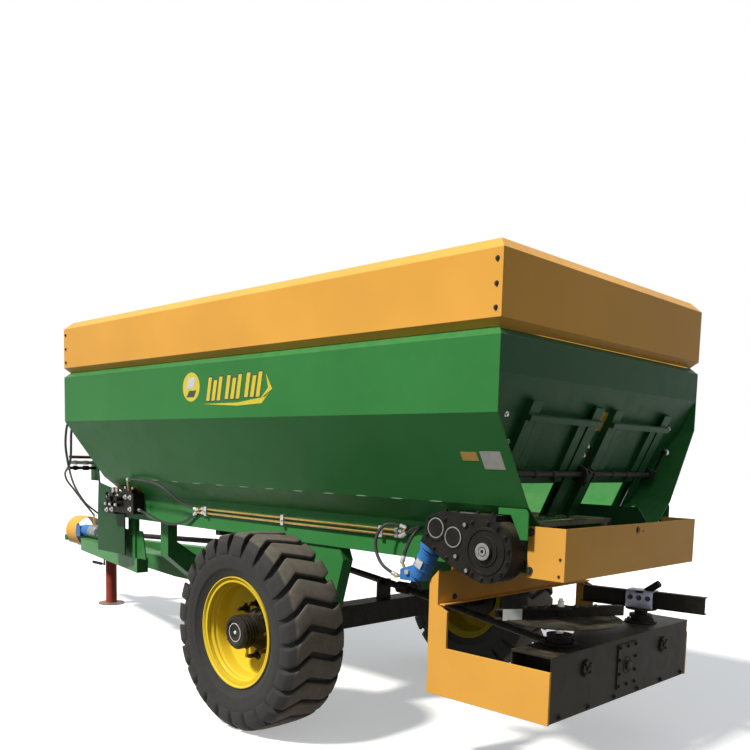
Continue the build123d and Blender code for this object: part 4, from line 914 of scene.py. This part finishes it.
# ---------------------------------------------------------------- rear guard
# Folded yellow sheet round the place where the load falls, bolted to the beams.
coat(yellow, "rear_guard")
shape = bmesh.new()
for side in (1, -1):
    for x, z, size in (
        (0.012, 1.291, 0.024), (0.012, 1.090, 0.022), (-0.168, 1.165, 0.009), (-0.164, 1.078, 0.009),
    ):
        add_bolt(shape, spot(x, side * 0.753, z), (0, side, 0), size)
add_round(shape, spot(-0.196, -0.066, 1.277), (-1, 0, 0), 0.006, 0.003, segments=16)
add_ring(shape, spot(-0.196, 0.0, 1.285), (-1, 0, 0), 0.021, 0.0172, 0.002)
add_piece(shape, "guard_bolts", dark_bolt, sharp=25)


# ---------------------------------------------------------------- spreader frame
# Thick yellow side plates and a cross plate with a bent lip, which carry the gear case.
coat(yellow, "spreader_side_left", "spreader_side_right", "spreader_cross_plate")
shape = bmesh.new()
for side in (1, -1):
    add_bolt(shape, spot(0.585, side * 0.656, 0.866), (-1, 0, 0), 0.020)
    for x, z in ((0.03, 0.36), (0.03, 0.54), (-0.13, 0.54)):
        add_bolt(shape, spot(x, side * 0.790, z), (0, -side, 0), 0.020)
add_piece(shape, "spreader_bolts", dark_bolt, sharp=25)


# ---------------------------------------------------------------- gear case
# Folded steel case in black enamel, with bolted covers on its rear face and flanged bearings on top.
case_black = enamel("black_enamel_on_folded_case", "#201F1B", dust=0.2, roughness=0.5)
coat(case_black, "gearcase")
case_rear, case_top, reach = -0.172, 0.665, 0.789
shape = bmesh.new()
cover_middle = spot((case_rear + 0.079) / 2 - 0.001, 0, case_top)
add_panel(shape, cover_middle, (-1, 0, 0), (0, -1, 0), (0.259, 2 * reach, 0.004))
for side in (1, -1):
    top = spot(-0.010, side * 0.470, case_top + 0.004)
    add_ring(shape, top, (0, 0, 1), 0.098, 0.0625, 0.010, 48)
    for i in range(6):
        angle = i * pi / 3
        add_bolt(shape, top + Vector((0.082 * cos(angle), 0.082 * sin(angle), 0.010)), (0, 0, 1), 0.016)
    hub = spot(case_rear - 0.010, side * 0.450, 0.557)
    add_ring(shape, hub, (-1, 0, 0), 0.046, 0.026, 0.004)
    add_round(shape, hub, (-1, 0, 0), 0.015, 0.010, 0.012, 24)
    for i in range(4):
        angle = pi / 4 + i * pi / 2
        add_bolt(shape, hub + Vector((-0.003, 0.036 * cos(angle), 0.036 * sin(angle))), (-1, 0, 0), 0.011)
cover = spot(case_rear - 0.008, 0, 0.503)
for y in (-0.092, 0.0, 0.092):
    for z in (-0.112, -0.04, 0.04, 0.112):
        if y or abs(z) > 0.1:
            add_bolt(shape, cover + Vector((0, y, z)), (-1, 0, 0), 0.015)
add_round(shape, cover, (-1, 0, 0), 0.030, 0.014, 0.024)
add_ring(shape, cover, (-1, 0, 0), 0.052, 0.044, 0.003)
for y in (0.698, 0.408, 0.123, -0.150, -0.449, -0.727):
    add_bolt(shape, spot(case_rear, y, 0.337), (-1, 0, 0), 0.020)
soften(shape, 0.0012)
add_piece(shape, "gearcase_fixings", case_black, sharp=25)


# ---------------------------------------------------------------- spinners
# Bent steel blades in black enamel on two upright shafts. The left pair stands on a disc, and the
# right pair is clamped in a bare saddle plate.
coat(case_black, "spinner_disc_left", "spinner_disc_right", "spinner_blades_left", "spinner_blades_right")
saddle_steel = bare_metal("oiled_bare_steel", "#A3A3B8", 0.4, metallic=0.6)
for word, side, turn in (("left", 1, 58), ("right", -1, 8)):
    body = f"spinner_{word}"
    centre = spot(-0.010, side * 0.470, 0)
    way = Vector((cos(radians(turn)), sin(radians(turn)), 0))
    beside = Vector((-way.y, way.x, 0))
    shape = bmesh.new()
    add_round(shape, centre + Vector((0, 0, 0.726)), (0, 0, 1), 0.0228, 0.026)
    if side > 0:
        add_round(shape, centre + Vector((0, 0, 0.874)), (0, 0, 1), 0.022, 0.026, 0.014)
        add_bolt(shape, centre + Vector((0, 0, 0.900)), (0, 0, 1), 0.022)
    add_piece(shape, f"spindle_{word}", silver, body, 30)
    bolts = bmesh.new()
    for way_on in (way, -way):
        for along in (0.09, 0.15, 0.21):
            if side > 0:
                add_bolt(bolts, centre + way_on * along + Vector((0, 0, 0.868)), (0, 0, 1), 0.017)
    if side < 0:
        saddle = bmesh.new()
        for out in (1, -1):
            face = centre + beside * (out * 0.048) + Vector((0, 0, 0.816))
            add_panel(saddle, face, way * -out, (0, 0, 1), (0.170, 0.104, 0.007))
            for i in range(3):
                spot_on = face + beside * (out * 0.007) + way * (-0.055 + i * 0.055)
                add_bolt(bolts, spot_on + Vector((0, 0, 0.012)), beside * out, 0.018)
        add_panel(saddle, centre + Vector((0, 0, 0.868)), way, beside, (0.170, 0.104, 0.0065))
        soften(saddle, 0.002)
        add_piece(saddle, "spinner_saddle", saddle_steel, body, 30)
    else:
        plate = bmesh.new()
        held = centre + way * 0.300 + beside * 0.0455 + Vector((0, 0, 0.841))
        add_panel(plate, held, -way, (0, 0, 1), (0.11, 0.062, 0.001))
        add_piece(plate, "blank_blade_label", film_white, body)
    add_piece(bolts, f"blade_bolts_{word}", dark_bolt, body, 25)
